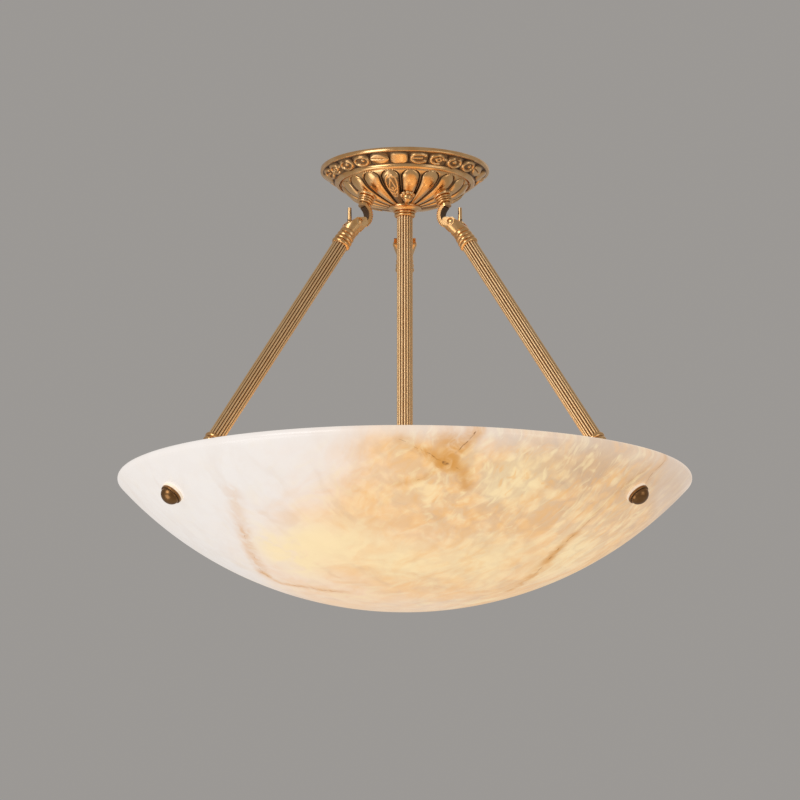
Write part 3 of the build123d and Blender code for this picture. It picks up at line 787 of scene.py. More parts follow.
@dataclass
class SubAssembly:
    """Shared work of the sub-assemblies: giving pieces to bodies and finishes to pieces."""

    materials: dict[Slot, bpy.types.Material]
    body: Body = field(default=Body.CANOPY, kw_only=True)
    solids: tuple[str, ...] = field(default=(), kw_only=True)

    def build(self) -> None:
        """Add meshes. A sub-assembly whose solids say everything adds none."""

    def dress(self) -> None:
        """Give each solid the finish of its slot."""
        for name in self.solids:
            self.wear(name, self.materials[SLOTS[name]])

    def wear(self, name: str, material: bpy.types.Material) -> None:
        """Give one solid a material."""
        mesh = frame["nodes"][name].data
        mesh.materials.clear()
        mesh.materials.append(material)
        LOG.info("%s wears %s", name, material.name)

    def keep(self, piece: bpy.types.Object, slot: Slot, *nodes: str) -> bpy.types.Object:
        """Let a piece ride on the body and stand for solids.

        Args:
            piece: The new piece.
            slot: Its material slot.
            nodes: Solids that it stands for.

        Returns:
            The same piece.
        """
        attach(piece, self.body.value)
        if nodes:
            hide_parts(*nodes)
        piece.data.materials.append(self.materials[slot])
        LOG.info("%s rides on %s with %d faces", piece.name, self.body.value, len(piece.data.polygons))
        return piece


@dataclass
class CanopyRim(SubAssembly):
    """Canopy rim: plain lip, hollow frieze with carved ornaments, and a bead below."""

    lip_radius: float = mm(75.0)
    lip_height: float = mm(3.6)
    lip_width: float = mm(2.2)
    lip_round: float = mm(0.6)
    wall: float = mm(3.0)
    bore: float = mm(58.55)
    frieze_drop: float = mm(8.4)
    frieze_hollow: float = mm(1.2)
    bead_height: float = mm(3.2)
    bead_width: float = mm(3.6)
    bead_swell: float = mm(1.4)
    bead_rows: int = 8
    ledge_radius: float = mm(63.05)
    ledge_height: float = mm(-8.0)
    ledge_step: float = mm(2.0)
    units: int = 24
    phase: float = -4.3
    columns_per_unit: int = 52
    frieze_rows: int = 40
    relief: float = mm(2.4)
    ridge: float = mm(1.55)
    half_width: float = mm(8.5)
    half_height: float = mm(6.2)
    pillow: float = 0.38

    def ring(self, x: np.ndarray, y: np.ndarray, across: float, up: float) -> np.ndarray:
        """Half-round ridge along an ellipse."""
        share = np.hypot(x / across, y / up) + 1e-6
        slope = np.hypot(x / across**2, y / up**2) / share
        return half_round((share - 1.0) / np.maximum(slope, 1e-3), self.ridge)

    def bar(self, x: np.ndarray, y: np.ndarray, half: float) -> np.ndarray:
        """Half-round bar along the rim, with round ends."""
        return half_round(np.hypot(np.clip(np.abs(x) - half, 0.0, None), y), self.ridge)

    def motif(self, kind: Motif, x: np.ndarray, y: np.ndarray) -> np.ndarray:
        """Height of one ornament.

        Args:
            kind: Which ornament.
            x: Distance from the ornament's middle, to the right.
            y: Distance from the frieze's middle, positive to its foot.

        Returns:
            Heights from 0 to 1.
        """
        turn = np.arctan2(y, x)
        if kind is Motif.SHIELD:
            spread = np.abs(x / mm(8.0)) ** 3 + np.abs(y / self.half_height) ** 3
            return np.clip(1.0 - spread, 0.0, 1.0) ** 0.42
        if kind is Motif.LEAF:
            share = np.clip((mm(8.6) - x) / mm(17.0), 0.0, 1.0)
            half = mm(13.0) * share**0.6 * (1.0 - share) ** 0.55 + mm(0.01)
            bend = y + mm(2.0) * (share - 0.5)
            crease = np.exp(-((bend / mm(0.6)) ** 2)) * ease(share, 0.1, 0.35)
            return half_round(bend, half) * (1.0 - 0.5 * crease)
        if kind is Motif.SCROLL:
            outline = self.ring(x, y, mm(6.8), mm(4.7)) * ease(np.abs(turn), 0.35, 0.5)
            tongue = self.bar(x + mm(1.2), y, mm(3.6))
            knobs = half_round(np.hypot(x - mm(5.6), np.abs(y) - mm(3.0)), mm(1.9))
            return np.maximum.reduce([outline, tongue, knobs])
        if kind is Motif.CURL:
            outline = self.ring(x + mm(0.8), y, mm(5.9), mm(4.6)) * ease(np.abs(turn - 0.5), 0.35, 0.55)
            eye = self.ring(x - mm(0.6), y - mm(0.2), mm(2.1), mm(1.7))
            tail = half_round(np.hypot((x - mm(6.6)) * 0.55, y + mm(0.6)), mm(1.8))
            return np.maximum.reduce([outline, eye, tail])
        if kind is Motif.LOOP:
            outline = self.ring(x, y - mm(0.4), mm(6.4), mm(4.6)) * ease(np.abs(turn + pi / 2), 0.4, 0.6)
            seed = half_round(np.hypot(x * 0.8, y - mm(0.2)), mm(2.2))
            return np.maximum(outline, seed)
        outline = self.ring(x, y, mm(6.5), mm(4.7))
        curl = half_round(np.hypot(x - mm(1.6), (y + mm(0.4)) * 0.8), mm(2.0))
        return np.maximum(outline, curl)

    def frieze(self, reach: np.ndarray, spread: np.ndarray, columns: int) -> np.ndarray:
        """Relief of the whole frieze.

        Args:
            reach: Radius of each frieze row.
            spread: Distance of each row from the frieze's middle.
            columns: Steps round the rim.

        Returns:
            Heights from 0 to 1, by row and column.
        """
        pitch = 360.0 / self.units
        azimuth = np.arange(columns) * (360.0 / columns)
        unit = np.round((azimuth - self.phase) / pitch)
        away = np.radians(azimuth - self.phase - unit * pitch)
        order = unit.astype(int) % len(Motif)
        heights = np.zeros((len(reach), columns))
        for kind in Motif:
            chosen = order == kind.value
            x = reach[:, None] * away[None, chosen]
            y = np.repeat(spread[:, None], chosen.sum(), axis=1)
            base = np.abs(x / self.half_width) ** 4 + np.abs(y / self.half_height) ** 4
            cushion = self.pillow * np.clip(1.0 - base, 0.0, 1.0) ** 0.4
            heights[:, chosen] = np.maximum(cushion, self.motif(kind, x, y))
        return heights

    def build(self) -> None:
        """Turn the rim's section and carve the frieze into it."""
        top = np.array([self.lip_radius - self.lip_width, -self.lip_height])
        foot = np.array([self.bore + self.bead_width, -self.lip_height - self.frieze_drop])
        run = foot - top
        outward = np.array([-run[1], run[0]]) / np.linalg.norm(run)
        hollow = (top + foot) / 2 - outward * self.frieze_hollow
        bead_end = np.array([self.bore, foot[1] - self.bead_height])
        fall = bead_end - foot
        bead = (foot + bead_end) / 2 + np.array([-fall[1], fall[0]]) / np.linalg.norm(fall) * self.bead_swell
        frieze = section_arc(top, hollow, foot, self.frieze_rows)
        inner = self.lip_radius - self.lip_width - self.wall
        lip = section_arc(
            (self.lip_radius - self.lip_round, -self.lip_height),
            (self.lip_radius - self.lip_round * 0.3, -self.lip_height + self.lip_round * 0.3),
            (self.lip_radius, -self.lip_height + self.lip_round),
            3,
        )
        section = np.vstack([
            section_arc(bead_end, bead, foot, self.bead_rows)[:-1],
            frieze[::-1],
            lip,
            [(self.lip_radius, -self.lip_round), (self.lip_radius - self.lip_round, 0.0)],
            [(inner, 0.0), (inner, -self.lip_height / 2)],
            [(self.ledge_radius, self.ledge_height + self.ledge_step)],
            [(self.ledge_radius, self.ledge_height), (self.bore, self.ledge_height)],
        ])
        columns = self.units * self.columns_per_unit
        rows = slice(self.bead_rows, self.bead_rows + len(frieze))
        spread = np.linspace(0.5, -0.5, len(frieze)) * np.linalg.norm(run)
        heights = self.frieze(section[rows, 0], spread, columns)
        relief = np.zeros((len(section), columns))
        patina_and_shade = np.zeros_like(relief)
        relief[rows] = heights * self.relief
        # Painted shade with patina: the low ground between and round the ornaments darkens.
        margin = 1.0 - ease(np.abs(spread), self.half_height, self.half_height + mm(0.8))
        gaps = 1.0 - ease(heights, 0.14, 0.37)
        patina_and_shade[rows] = np.maximum(gaps, 0.80 * (1.0 - ease(heights, 0.36, 0.74))) * margin[:, None]
        piece = turned("carved_rim", section, columns, relief, patina_and_shade, 60.0)
        self.keep(piece, Slot.BRASS, "canopy_rim")


@dataclass
class Dome(SubAssembly):
    """Lobed dome with grooves, darts between the lobes, chased leaves and flat pads for the hooks."""

    crown_radius: float = mm(115.0)
    depth: float = mm(36.5)
    shoulder_radius: float = mm(23.5)
    edge_radius: float = mm(58.5)
    top_drop: float = mm(13.0)
    wall: float = mm(2.4)
    skirt_height: float = mm(5.0)
    skirt_width: float = mm(0.8)
    flange_width: float = mm(4.5)
    flange_height: float = mm(2.0)
    boss_radius: float = mm(14.9)
    boss_top: float = mm(-34.7)
    bore: float = mm(5.1)
    lobes: int = 18
    lobe_phase: float = 5.8
    lobe_depth: float = mm(1.9)
    groove_depth: float = mm(2.6)
    lobe_start: float = mm(2.4)
    lobe_end: float = mm(7.0)
    lobe_share: float = 0.86
    groove_width: float = mm(1.0)
    leaf_relief: float = mm(0.6)
    leaf_lobes: tuple[float, ...] = (-14.2, 105.8, 225.8)
    pad_radius: float = mm(8.2)
    pad_rise: float = mm(1.2)
    hook_radius: float = mm(38.5)
    columns_per_lobe: int = 54
    rows: int = 76

    def outline(self) -> np.ndarray:
        """Crest of the lobes, from the boss out to the border, at even steps."""
        crown_centre = self.crown_radius - self.depth
        reach = self.edge_radius - self.shoulder_radius
        shoulder_centre = crown_centre - sqrt((self.crown_radius - self.shoulder_radius) ** 2 - reach**2)
        tilt = np.arctan2(reach, crown_centre - shoulder_centre)
        crown = np.linspace(np.arcsin(self.boss_radius / self.crown_radius), tilt, 200)
        shoulder = np.linspace(tilt, acos((shoulder_centre + self.top_drop) / self.shoulder_radius), 200)[1:]
        path = np.vstack([
            np.column_stack([
                self.crown_radius * np.sin(crown),
                crown_centre - self.crown_radius * np.cos(crown),
            ]),
            np.column_stack([
                reach + self.shoulder_radius * np.sin(shoulder),
                shoulder_centre - self.shoulder_radius * np.cos(shoulder),
            ]),
        ])
        run = run_along(path)
        even = np.linspace(0.0, run[-1], self.rows + 1)
        return np.column_stack([np.interp(even, run, path[:, 0]), np.interp(even, run, path[:, 1])])

    def carve(self, path: np.ndarray, columns: int) -> tuple[np.ndarray, np.ndarray]:
        """Relief of the lobes, grooves, darts and leaves, and their darkening by patina and painted shade.

        Args:
            path: Crest points from the boss to the border.
            columns: Steps round the dome.

        Returns:
            Heights, and darkening by patina and painted shade, by row and column.
        """
        pitch = 360.0 / self.lobes
        azimuth = np.arange(columns) * (360.0 / columns)
        number = np.round((azimuth - self.lobe_phase) / pitch)
        away = np.radians(azimuth - self.lobe_phase - number * pitch)[None, :]
        radius = path[:, :1]
        run = run_along(path)
        inward = (run[-1] - run)[:, None]
        x = radius * away
        half_pitch = radius * radians(pitch / 2)
        entry = np.clip((inward - self.lobe_start) / self.lobe_end, 0.0, 1.0)
        half = half_pitch * self.lobe_share * np.sqrt(1.0 - (1.0 - entry) ** 2) + mm(0.001)
        swell = np.clip(1.0 - np.abs(x / half) ** 2.4, 0.0, 1.0) ** 0.55
        past = np.abs(x) - half
        dart = (0.45 + 0.50 * (1.0 - entry)) * ease(past, 0.0, self.groove_width)
        fade = ease(inward, mm(0.8), mm(5.0)) * (0.40 + 0.60 * ease(radius, mm(15.0), mm(32.0)))
        heights = -self.groove_depth * fade * (1.0 - np.maximum(swell, dart))
        # Painted shade with patina: dark lines along the lobes' edges, brown in the darts between them and on
        # the chased leaves' ground.
        edge = 1.0 - ease(np.abs(past), mm(0.4), mm(1.1))
        between = 0.88 * ease(past, 0.0, mm(0.6)) * ease(inward, mm(4.0), mm(8.0))
        patina_and_shade = np.maximum(edge * ease(inward, mm(1.5), mm(3.5)), between)
        centres = np.round(number * pitch + self.lobe_phase, 1) % 360.0
        chased = np.isin(centres, np.round(np.array(self.leaf_lobes) % 360.0, 1))[None, :]
        leaf = self.leaf(x / half_pitch, inward) * chased
        inside = chased * (np.abs(x) < half) * (leaf < 0.3) * ease(inward, mm(9.0), mm(11.0))
        return heights + self.leaf_relief * leaf, np.maximum(patina_and_shade, 0.75 * inside)

    def leaf(self, across: np.ndarray, inward: np.ndarray) -> np.ndarray:
        """Chased leaf on one lobe: a pointed outline, a midrib and slanting veins.

        Args:
            across: Place across the lobe, from -1 to 1.
            inward: Distance from the border towards the boss.

        Returns:
            Heights from 0 to 1.
        """
        along = np.clip((inward - mm(7.0)) / mm(30.0), 0.0, 1.0)
        half = 0.62 * np.sqrt(np.clip(np.sin(pi * along**0.75), 0.0, 1.0)) + 1e-6
        outline = half_round(np.abs(across) - half, 0.10) * (along > 0.01) * (along < 0.99)
        inside = np.abs(across) < half
        arch = half_round(np.abs(across) - 0.95 * (along - 0.10), 0.09) * (along > 0.08) * (along < 0.48)
        midrib = half_round(across, 0.09) * ease(along, 0.40, 0.50)
        veins = np.abs(((along * 6.0 + np.abs(across) * 1.6) % 1.0) - 0.5) * 2.0 * ease(along, 0.42, 0.52)
        return np.maximum(outline, inside * np.maximum.reduce([arch, midrib, 0.8 * veins]))

    def pad_share(self, path: np.ndarray, columns: int) -> np.ndarray:
        """1 on the round pads of the hooks and 0 elsewhere, by row and column."""
        angles = np.arange(columns) * (2 * pi / columns)
        share = np.zeros((len(path), columns))
        for azimuth in ROD_AZIMUTHS.values():
            turn = np.cos(angles - radians(azimuth))[None, :]
            reach = path[:, :1]
            square = reach**2 + self.hook_radius**2 - 2 * reach * self.hook_radius * turn
            away = np.sqrt(np.clip(square, 0.0, None)) - self.pad_radius
            share = np.maximum(share, 1.0 - ease(away, mm(-0.3), mm(0.3)))
        return share

    def build(self) -> None:
        """Turn the dome's section, with carved relief outside and seats for the nuts inside."""
        columns = self.lobes * self.columns_per_lobe
        path = self.outline()
        skirt = path[-1, 0] + self.skirt_width
        ledge = -self.top_drop + self.skirt_height
        roof = ledge + self.flange_height
        inset = self.lobe_depth + self.wall
        inside = skirt - inset
        floor = self.boss_top + self.wall
        inner = path[::-1]
        along = np.gradient(inner, axis=0)
        along = along / np.linalg.norm(along, axis=1)[:, None]
        inner = inner + np.column_stack([along[:, 1], -along[:, 0]]) * inset
        inner = inner[(inner[:, 1] < -self.top_drop) & (inner[:, 1] > floor)]
        section = np.vstack([
            [(self.bore, floor), (self.bore, self.boss_top), (self.boss_radius, self.boss_top)],
            path,
            [(skirt, -self.top_drop), (skirt, ledge), (skirt + self.flange_width, ledge)],
            [(skirt + self.flange_width, roof), (inside, roof), (inside, -self.top_drop)],
            inner,
        ])
        relief = np.zeros((len(section), columns))
        patina_and_shade = np.zeros_like(relief)
        outer = slice(3, 3 + len(path))
        heights, patina_and_shade_marks = self.carve(path, columns)
        pads = self.pad_share(path, columns)
        relief[outer] = heights * (1.0 - pads) + self.pad_rise * pads
        patina_and_shade[outer] = patina_and_shade_marks * (1.0 - pads)
        relief[-len(inner) :] = self.wall * self.pad_share(inner, columns)
        piece = turned("carved_dome", section, columns, relief, patina_and_shade, 50.0)
        self.keep(piece, Slot.BRASS, "canopy_dome")


@dataclass
class Hooks(SubAssembly):
    """Hooks under the dome, with a row of beads along both edges of each strap's back."""

    aged_and_shaded: HookFinish = field(kw_only=True)
    throat_reach: float = mm(47.4)
    throat_height: float = mm(-47.764)
    back_radius: float = mm(12.1)
    bead_radius: float = mm(1.05)
    edge_offset: float = mm(3.5)
    first_angle: float = 136.0
    last_angle: float = 238.0
    beads: int = 11

    @staticmethod
    def directions(azimuth: float) -> tuple[Vector, Vector]:
        """Outward and sideways directions of a hook."""
        out = Vector((sin(radians(azimuth)), -cos(radians(azimuth)), 0.0))
        return out, Vector((out.y, -out.x, 0.0))

    def dress(self) -> None:
        """Dress the solids, and each hook with a brown back and a throat browned by patina and painted shade.
        """
        super().dress()
        for name, azimuth in ROD_AZIMUTHS.items():
            out, side = self.directions(azimuth)
            throat = out * self.throat_reach + Vector((0.0, 0.0, self.throat_height))
            finish = replace(self.aged_and_shaded, name=f"hook_brass_{name}", foot=tuple(throat), along=tuple(side))
            self.wear(f"hook_{name}", finish.material())

    def build(self) -> None:
        """Set the beads."""
        for name, azimuth in ROD_AZIMUTHS.items():
            out, side = self.directions(azimuth)
            centres = []
            for angle in np.radians(np.linspace(self.first_angle, self.last_angle, self.beads)):
                reach = self.throat_reach + self.back_radius * cos(angle)
                spot = out * reach + Vector((0.0, 0.0, self.throat_height + self.back_radius * sin(angle)))
                centres += [spot + side * self.edge_offset, spot - side * self.edge_offset]
            self.keep(balls(f"hook_beads_{name}", centres, self.bead_radius), Slot.BRASS)


@dataclass
class Stem(SubAssembly):
    """Reeded stem with its collar and boss."""

    reeds: ReedFinish = field(kw_only=True)

    def dress(self) -> None:
        """Dress the solids, and the tube with grooves browned by patina and painted shade."""
        super().dress()
        self.wear("stem_tube", self.reeds.material())


@dataclass
class Rod(SubAssembly):
    """One reeded rod with a forked head and a pin at each end."""

    side: str = field(kw_only=True)
    reeds: ReedFinish = field(kw_only=True)

    def dress(self) -> None:
        """Dress the solids, and the tube with grooves along the rod's axis, browned by patina and painted
        shade.
        """
        super().dress()
        upper, lower = self.pins(self.side)
        along = (lower - upper).normalized()
        finish = replace(self.reeds, name=f"reeded_brass_{self.side}", foot=tuple(upper), along=tuple(along))
        self.wear(f"rod_tube_{self.side}", finish.material())

    @staticmethod
    def pins(side: str) -> tuple[Vector, Vector]:
        """Upper and lower pin of a rod, from the places of the joints.

        Args:
            side: Name of the rod's side.

        Returns:
            The two places in metres.
        """
        upper = joint_place(f"{side}_rod_swing")
        back = joint_place("bowl_pivot")
        outward = Vector((upper.x, upper.y, 0.0)).normalized()
        return upper, outward * Vector((back.x, back.y)).length + Vector((0.0, 0.0, back.z))


@dataclass
class StoneBowl(SubAssembly):
    """Stone bowl: part of a sphere with a rounded rim."""

    wall: float = mm(12.0)
    rim_round: float = mm(4.3)
    columns: int = 288
    rows: int = 72
    axis_gap: float = 0.0003

    @staticmethod
    def sphere(rim_round: float = rim_round) -> tuple[float, float, float]:
        """Outer radius, centre height and rim height, from the solid's box.

        Args:
            rim_round: Radius of the rim's rounding.

        Returns:
            Radius and heights in metres.
        """
        low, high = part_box("bowl")
        depth = high.z - low.z
        radius = ((high.x - rim_round) ** 2 / (depth - 2 * rim_round) + depth) / 2
        return radius, low.z + radius, high.z

    def edge_round(self, ball: float, centre: float, rim: float, outside: bool) -> np.ndarray:
        """Arc that rounds one edge of the rim.

        Args:
            ball: Distance of the arc's centre from the sphere's centre.
            centre: Height of the sphere's centre.
            rim: Height of the rim.
            outside: True for the outer edge.

        Returns:
            Section points, from the outer face to the top or from the top to the inner face.
        """
        level = rim - self.rim_round
        reach = sqrt(ball**2 - (centre - level) ** 2)
        away = np.arctan2(level - centre, reach)
        angles = np.linspace(away, pi / 2, 9) if outside else np.linspace(pi / 2, away + pi, 9)
        return np.column_stack([
            reach + self.rim_round * np.cos(angles),
            level + self.rim_round * np.sin(angles),
        ])

    def build(self) -> None:
        """Turn the bowl's section."""
        outer, centre, rim = self.sphere()
        inner = outer - self.wall
        outer_edge = self.edge_round(outer - self.rim_round, centre, rim, True)
        inner_edge = self.edge_round(inner + self.rim_round, centre, rim, False)
        outside = np.linspace(self.axis_gap, acos((centre - outer_edge[0, 1]) / outer), self.rows)
        within = np.linspace(acos((centre - inner_edge[-1, 1]) / inner), self.axis_gap, self.rows)
        section = np.vstack([
            np.column_stack([outer * np.sin(outside), centre - outer * np.cos(outside)]),
            outer_edge[1:],
            inner_edge[:-1],
            np.column_stack([inner * np.sin(within), centre - inner * np.cos(within)]),
        ])
        self.keep(turned("alabaster_bowl", section, self.columns, crease=60.0), Slot.ALABASTER, "bowl")


@dataclass
class CapNuts(SubAssembly):
    """Domed cap nuts outside the bowl, each with a rounded flange and a groove under its dome, browned by
    patina and painted shade.
    """

    seat: float = mm(2.15)
    bore: float = mm(3.3)
    bore_end: float = mm(5.9)
    flange_radius: float = mm(9.7)
    flange_height: float = mm(2.3)
    flange_round: float = mm(0.8)
    groove: float = mm(0.5)
    dome_radius: float = mm(8.5)
    dome_height: float = mm(6.9)
    tip: float = mm(0.05)
    dome_rows: int = 20
    columns: int = 64

    def section(self) -> tuple[np.ndarray, np.ndarray]:
        """Section of a nut that stands on height 0.

        Returns:
            Section points, counter-clockwise, and the darkening by patina and painted shade at each.
        """
        top = self.flange_height
        lean = self.flange_round * 0.3
        rounding = section_arc(
            (self.flange_radius, top - self.flange_round),
            (self.flange_radius - lean, top - lean),
            (self.flange_radius - self.flange_round, top),
            4,
        )
        turn = np.linspace(0.0, pi / 2, self.dome_rows + 1)
        dome = np.column_stack([self.dome_radius * np.cos(turn), top + self.dome_height * np.sin(turn)])
        dome[-1, 0] = self.tip
        parts = [
            [(self.bore, 0.0), (self.flange_radius - lean, 0.0), (self.flange_radius, lean)],
            rounding,
            [(self.dome_radius + self.groove / 3, top), (self.dome_radius, top - self.groove)],
            dome,
            [(self.tip, self.bore_end), (self.bore, self.bore_end)],
        ]
        patina_and_shade_marks = [np.zeros(len(part)) for part in parts]
        # Painted shade with patina: the groove under the dome is dark.
        patina_and_shade_marks[2][:] = 1.0
        patina_and_shade_marks[3][:2] = (1.0, 0.5)
        return np.vstack(parts), np.concatenate(patina_and_shade_marks)

    def build(self) -> None:
        """Turn each nut and set it on the bolt's line, which runs out from the sphere's centre."""
        radius, height, _ = StoneBowl.sphere()
        centre = Vector((0.0, 0.0, height))
        section, patina_and_shade_marks = self.section()
        patina_and_shade = np.repeat(patina_and_shade_marks[:, None], self.columns, axis=1)
        for side in ROD_AZIMUTHS:
            along = (Rod.pins(side)[1] - centre).normalized()
            piece = turned(f"cap_dome_{side}", section, self.columns, patina_and_shade=patina_and_shade, crease=50.0)
            turn = along.to_track_quat("Z", "Y").to_matrix().to_4x4()
            piece.matrix_world = Matrix.Translation(centre + along * (radius + self.seat)) @ turn
            self.keep(piece, Slot.CAP_BRASS, f"cap_nut_{side}")


@dataclass(frozen=True)
class SoftLight:
    """One soft square light: its place and size in metres and its power in watts."""

    name: str
    place: tuple[float, float, float]
    size: float
    power: float


@dataclass
class Studio:
    """Pale floor, soft lights, even surroundings and the camera."""

    floor_height: float = -3.2
    floor_reach: float = 14.0
    floor_colour: Colour = (0.82, 0.80, 0.77, 1.0)
    surround: Colour = (0.33, 0.315, 0.30, 1.0)
    light_level: float = 0.42
    eye: tuple[float, float, float] = (0.0, -2.830, -0.7697)
    pitch: float = 11.2
    lens: float = 147.96
    shift: float = -0.006
    sensor: float = 36.0
    floor_roughness: float = 0.8
    aim: tuple[float, float, float] = (0.0, 0.0, -0.2)
    lights: tuple[SoftLight, ...] = (
        SoftLight("key_light", (-1.6, -1.9, 0.4), 1.3, 16.0),
        SoftLight("left_light", (-0.95, -0.6, -1.02), 0.8, 3.0),
        SoftLight("fill_light", (1.8, -1.5, -0.3), 1.2, 3.5),
        SoftLight("back_light", (0.5, 1.9, 0.9), 2.2, 2.5),
    )

    def build(self) -> None:
        """Set the floor, the surroundings, the lights and the camera."""
        self.lay_floor()
        self.set_world()
        for light in self.lights:
            self.add_light(light)
        self.set_camera()
        bpy.context.scene.view_settings.view_transform = "Standard"

    def lay_floor(self) -> None:
        """Lay the plain pale floor."""
        reach = self.floor_reach
        corners = [(-reach, -reach), (reach, -reach), (reach, reach), (-reach, reach)]
        points = np.array([(x, y, self.floor_height) for x, y in corners])
        floor = mesh_object("studio_floor", points, [[0, 1, 2, 3]])
        made = bpy.data.materials.new("studio_floor")
        made.use_nodes = True
        ShaderBook(made.node_tree).surface(Base_Color=self.floor_colour, Roughness=self.floor_roughness)
        floor.data.materials.append(made)

    def set_world(self) -> None:
        """Show the pale surroundings to the eye and to reflections, and light the lamp evenly."""
        world = bpy.data.worlds.new("studio")
        world.use_nodes = True
        bpy.context.scene.world = world
        book = ShaderBook(world.node_tree)
        path = "ShaderNodeLightPath"
        seen = book.node(path, output="Is Camera Ray").most(book.node(path, output="Is Glossy Ray"))
        seen = seen.most(book.node(path, output="Is Transmission Ray"))
        level = (self.light_level, self.light_level, self.light_level, 1.0)
        background = book.node("ShaderNodeBackground", {}, {"Color": book.mix(seen, level, self.surround)})
        end = book.tree.nodes.new("ShaderNodeOutputWorld")
        book.join(background, end.inputs["Surface"])

    def add_light(self, light: SoftLight) -> None:
        """Add one light that faces the lamp."""
        lamp = bpy.data.lights.new(light.name, "AREA")
        lamp.size = light.size
        lamp.energy = light.power
        made = bpy.data.objects.new(light.name, lamp)
        made.location = light.place
        made.rotation_euler = (Vector(self.aim) - Vector(light.place)).to_track_quat("-Z", "Y").to_euler()
        bpy.context.scene.collection.objects.link(made)

    def set_camera(self) -> None:
        """Place the camera at the photograph's viewing angle."""
        camera = bpy.data.cameras.new("camera")
        camera.lens = self.lens
        camera.sensor_width = self.sensor
        camera.shift_x = self.shift
        made = bpy.data.objects.new("camera", camera)
        made.location = self.eye
        made.rotation_euler = (radians(90.0 + self.pitch), 0.0, 0.0)
        bpy.context.scene.collection.objects.link(made)
        bpy.context.scene.camera = made


# The third colour darkens the hollows: brown patina together with painted shade.
ANTIQUE_BRASS = BrassFinish(
    "antique_brass", (0.85, 0.475, 0.19, 1.0), (1.0, 0.70, 0.38, 1.0), (0.045, 0.018, 0.007, 1.0), 0.20
)
STONE_VEINS = (
    Vein(((8.6, 24.8), (11.1, 14.7), (13.8, 3.0)), 0.8, 11.0, 0.80),
    Vein(((7.6, 26.0), (4.4, 20.6)), 0.8, 10.0, 0.80),
    Vein(((4.4, 20.6), (-1.0, 13.0)), 0.4, 8.0, 0.50),
    Vein(((9.3, 28.0), (11.9, 31.8), (13.6, 42.5)), 0.8, 10.0, 0.80),
    Vein(((7.2, 29.6), (4.3, 37.8), (-1.5, 42.0)), 0.5, 6.0, 0.50),
    Vein(((8.6, 26.7), (8.4, 14.0)), 0.1, 19.0, 0.75),
    Vein(((7.8, 26.4), (8.8, 27.4)), 1.9, 13.0, 0.95),
    Vein(((-41.7, 39.8), (-43.8, 49.2), (-49.1, 64.7)), 0.2, 14.0, 0.30),
    Vein(((-49.1, 64.7), (-57.3, 79.0), (-70.6, 90.2)), 0.5, 11.0, 0.50),
    Vein(((-70.6, 90.2), (-75.1, 96.9), (-62.7, 103.0), (-45.0, 107.8)), 0.9, 8.0, 0.62),
    Vein(((57.0, 12.0), (53.5, 32.0), (52.8, 47.2), (54.4, 66.6)), 0.5, 5.0, 0.34),
    Vein(((54.4, 66.6), (55.2, 76.0), (57.9, 84.0)), 0.8, 9.0, 0.60),
    Vein(((55.2, 76.0), (57.9, 84.0), (66.8, 95.0), (75.0, 102.3)), 1.0, 11.0, 0.75),
    Vein(((61.0, 2.0), (59.9, 14.6), (61.0, 25.7)), 0.9, 7.0, 0.40),
    Vein(((150.0, 4.0), (162.0, 30.0), (158.0, 62.0), (172.0, 90.0)), 1.1, 10.0, 0.70),
    Vein(((-150.0, 20.0), (-138.0, 48.0), (-146.0, 80.0)), 1.0, 9.0, 0.60),
)
STONE_GLOWS = (
    (-21.0, 80.8, 60.0),
    (-42.0, 84.8, 55.0),
    (25.4, 36.2, 46.0),
    (64.0, 82.2, 50.0),
    (28.8, 91.0, 60.0),
    (-1.8, 94.0, 46.0),
    (120.0, 70.0, 80.0),
    (-120.0, 70.0, 80.0),
)


def joint_place(name: str) -> Vector:
    """Place of a joint in the record."""
    rows = frame["record"]["behaviour"]["joints"]
    return Vector(next(row["pos_m"] for row in rows if row["name"] == name))


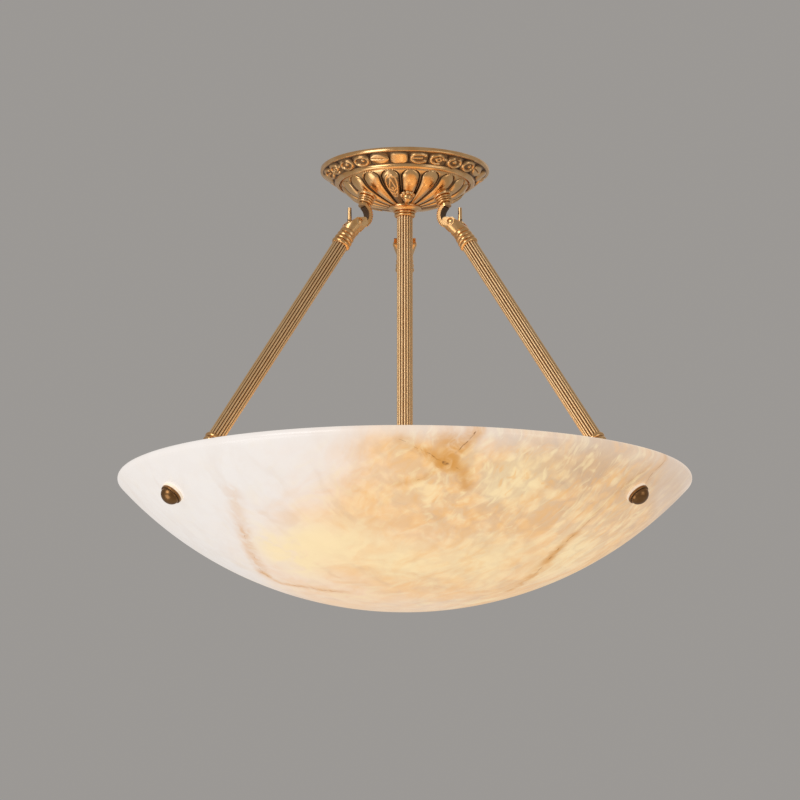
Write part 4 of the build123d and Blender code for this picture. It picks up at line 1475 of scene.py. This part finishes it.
def make_finishes() -> dict[Slot, Finish]:
    """Finish of each slot."""
    radius, centre, rim = StoneBowl.sphere()
    return {
        Slot.BRASS: ANTIQUE_BRASS,
        Slot.CAP_BRASS: replace(
            ANTIQUE_BRASS,
            name="cap_brass",
            gold=(0.26, 0.125, 0.045, 1.0),
            bright=(0.46, 0.26, 0.115, 1.0),
            roughness=0.27,
        ),
        Slot.ALABASTER: AlabasterFinish(
            "alabaster", STONE_VEINS, STONE_GLOWS, (0.0, 0.0, centre), radius, rim
        ),
        # Painted light: the gaskets glow, so that a bright ring shows round each cap nut, though they are no
        # lamp.
        Slot.RUBBER: PlainFinish(
            "gasket_rubber_painted_glow", (0.84, 0.72, 0.58, 1.0), (0.76, 0.63, 0.49, 1.0), 0.6, glow=0.45
        ),
        Slot.STEEL: PlainFinish(
            "zinc_steel", (0.60, 0.60, 0.57, 1.0), (0.48, 0.48, 0.45, 1.0), 0.36, metallic=1.0
        ),
        Slot.PLASTIC: PlainFinish("terminal_plastic", (0.80, 0.78, 0.72, 1.0), (0.74, 0.72, 0.66, 1.0), 0.5),
        Slot.PORCELAIN: PlainFinish(
            "porcelain", (0.86, 0.84, 0.79, 1.0), (0.80, 0.78, 0.73, 1.0), 0.22, coat=0.5
        ),
        Slot.LAMP_METAL: PlainFinish(
            "lamp_metal", (0.68, 0.66, 0.60, 1.0), (0.58, 0.56, 0.50, 1.0), 0.34, metallic=1.0
        ),
        Slot.OPAL: PlainFinish(
            "lamp_opal", (1.0, 0.82, 0.55, 1.0), (1.0, 0.86, 0.62, 1.0), 0.25, coat=0.3, glow=1.2
        ),
    }


def named(*words: str) -> tuple[str, ...]:
    """Solids of the record whose names start with one of the words."""
    return tuple(name for name in SLOTS if name.startswith(words))


def ending(end: str, start: str) -> tuple[str, ...]:
    """Solids whose names have this start and this end."""
    return tuple(name for name in named(start) if name.endswith(end))


def make_lamp(materials: dict[Slot, bpy.types.Material]) -> list[SubAssembly]:
    """Every sub-assembly of the lamp."""
    tones = (ANTIQUE_BRASS.gold, ANTIQUE_BRASS.bright, ANTIQUE_BRASS.patina_and_shade, ANTIQUE_BRASS.roughness)
    reeds = ReedFinish(
        "reeded_brass",
        gold=(0.88, 0.52, 0.22, 1.0),
        bright=(1.0, 0.72, 0.41, 1.0),
        # Colour of the grooves: brown patina together with painted shade.
        patina_and_shade=(0.18, 0.08, 0.03, 1.0),
        roughness=0.40,
        grain=0.05,
    )
    rods = [
        Rod(materials, body=Body(f"rod_{side}"), solids=ending(f"_{side}", "rod_"), side=side, reeds=reeds)
        for side in ROD_AZIMUTHS
    ]
    return [
        CanopyRim(materials, solids=named("canopy_rim")),
        Dome(materials, solids=named("canopy_dome", "dome_rosette")),
        Hooks(materials, solids=named("hook_"), aged_and_shaded=HookFinish("hook_brass", *tones)),
        Stem(materials, solids=named("stem_", "canopy_boss"), reeds=reeds),
        *rods,
        StoneBowl(materials, body=Body.BOWL, solids=("bowl",)),
        CapNuts(materials, body=Body.BOWL, solids=named("cap_nut")),
        SubAssembly(materials, body=Body.BOWL, solids=named("eye_", "outer_", "inner_", "bowl_washers")),
        SubAssembly(materials, solids=named("lamp")),
        SubAssembly(materials, solids=named("ceiling_", "nipple", "bracket_", "terminal_")),
    ]


def main() -> None:
    """Build and dress the lamp, piece by piece, then set the studio."""
    logging.basicConfig(level=logging.INFO, format="%(name)s: %(message)s")
    materials = {slot: finish.material() for slot, finish in make_finishes().items()}
    for assembly in make_lamp(materials):
        assembly.build()
        assembly.dress()
    Studio().build()


if __name__ == "__main__":
    main()
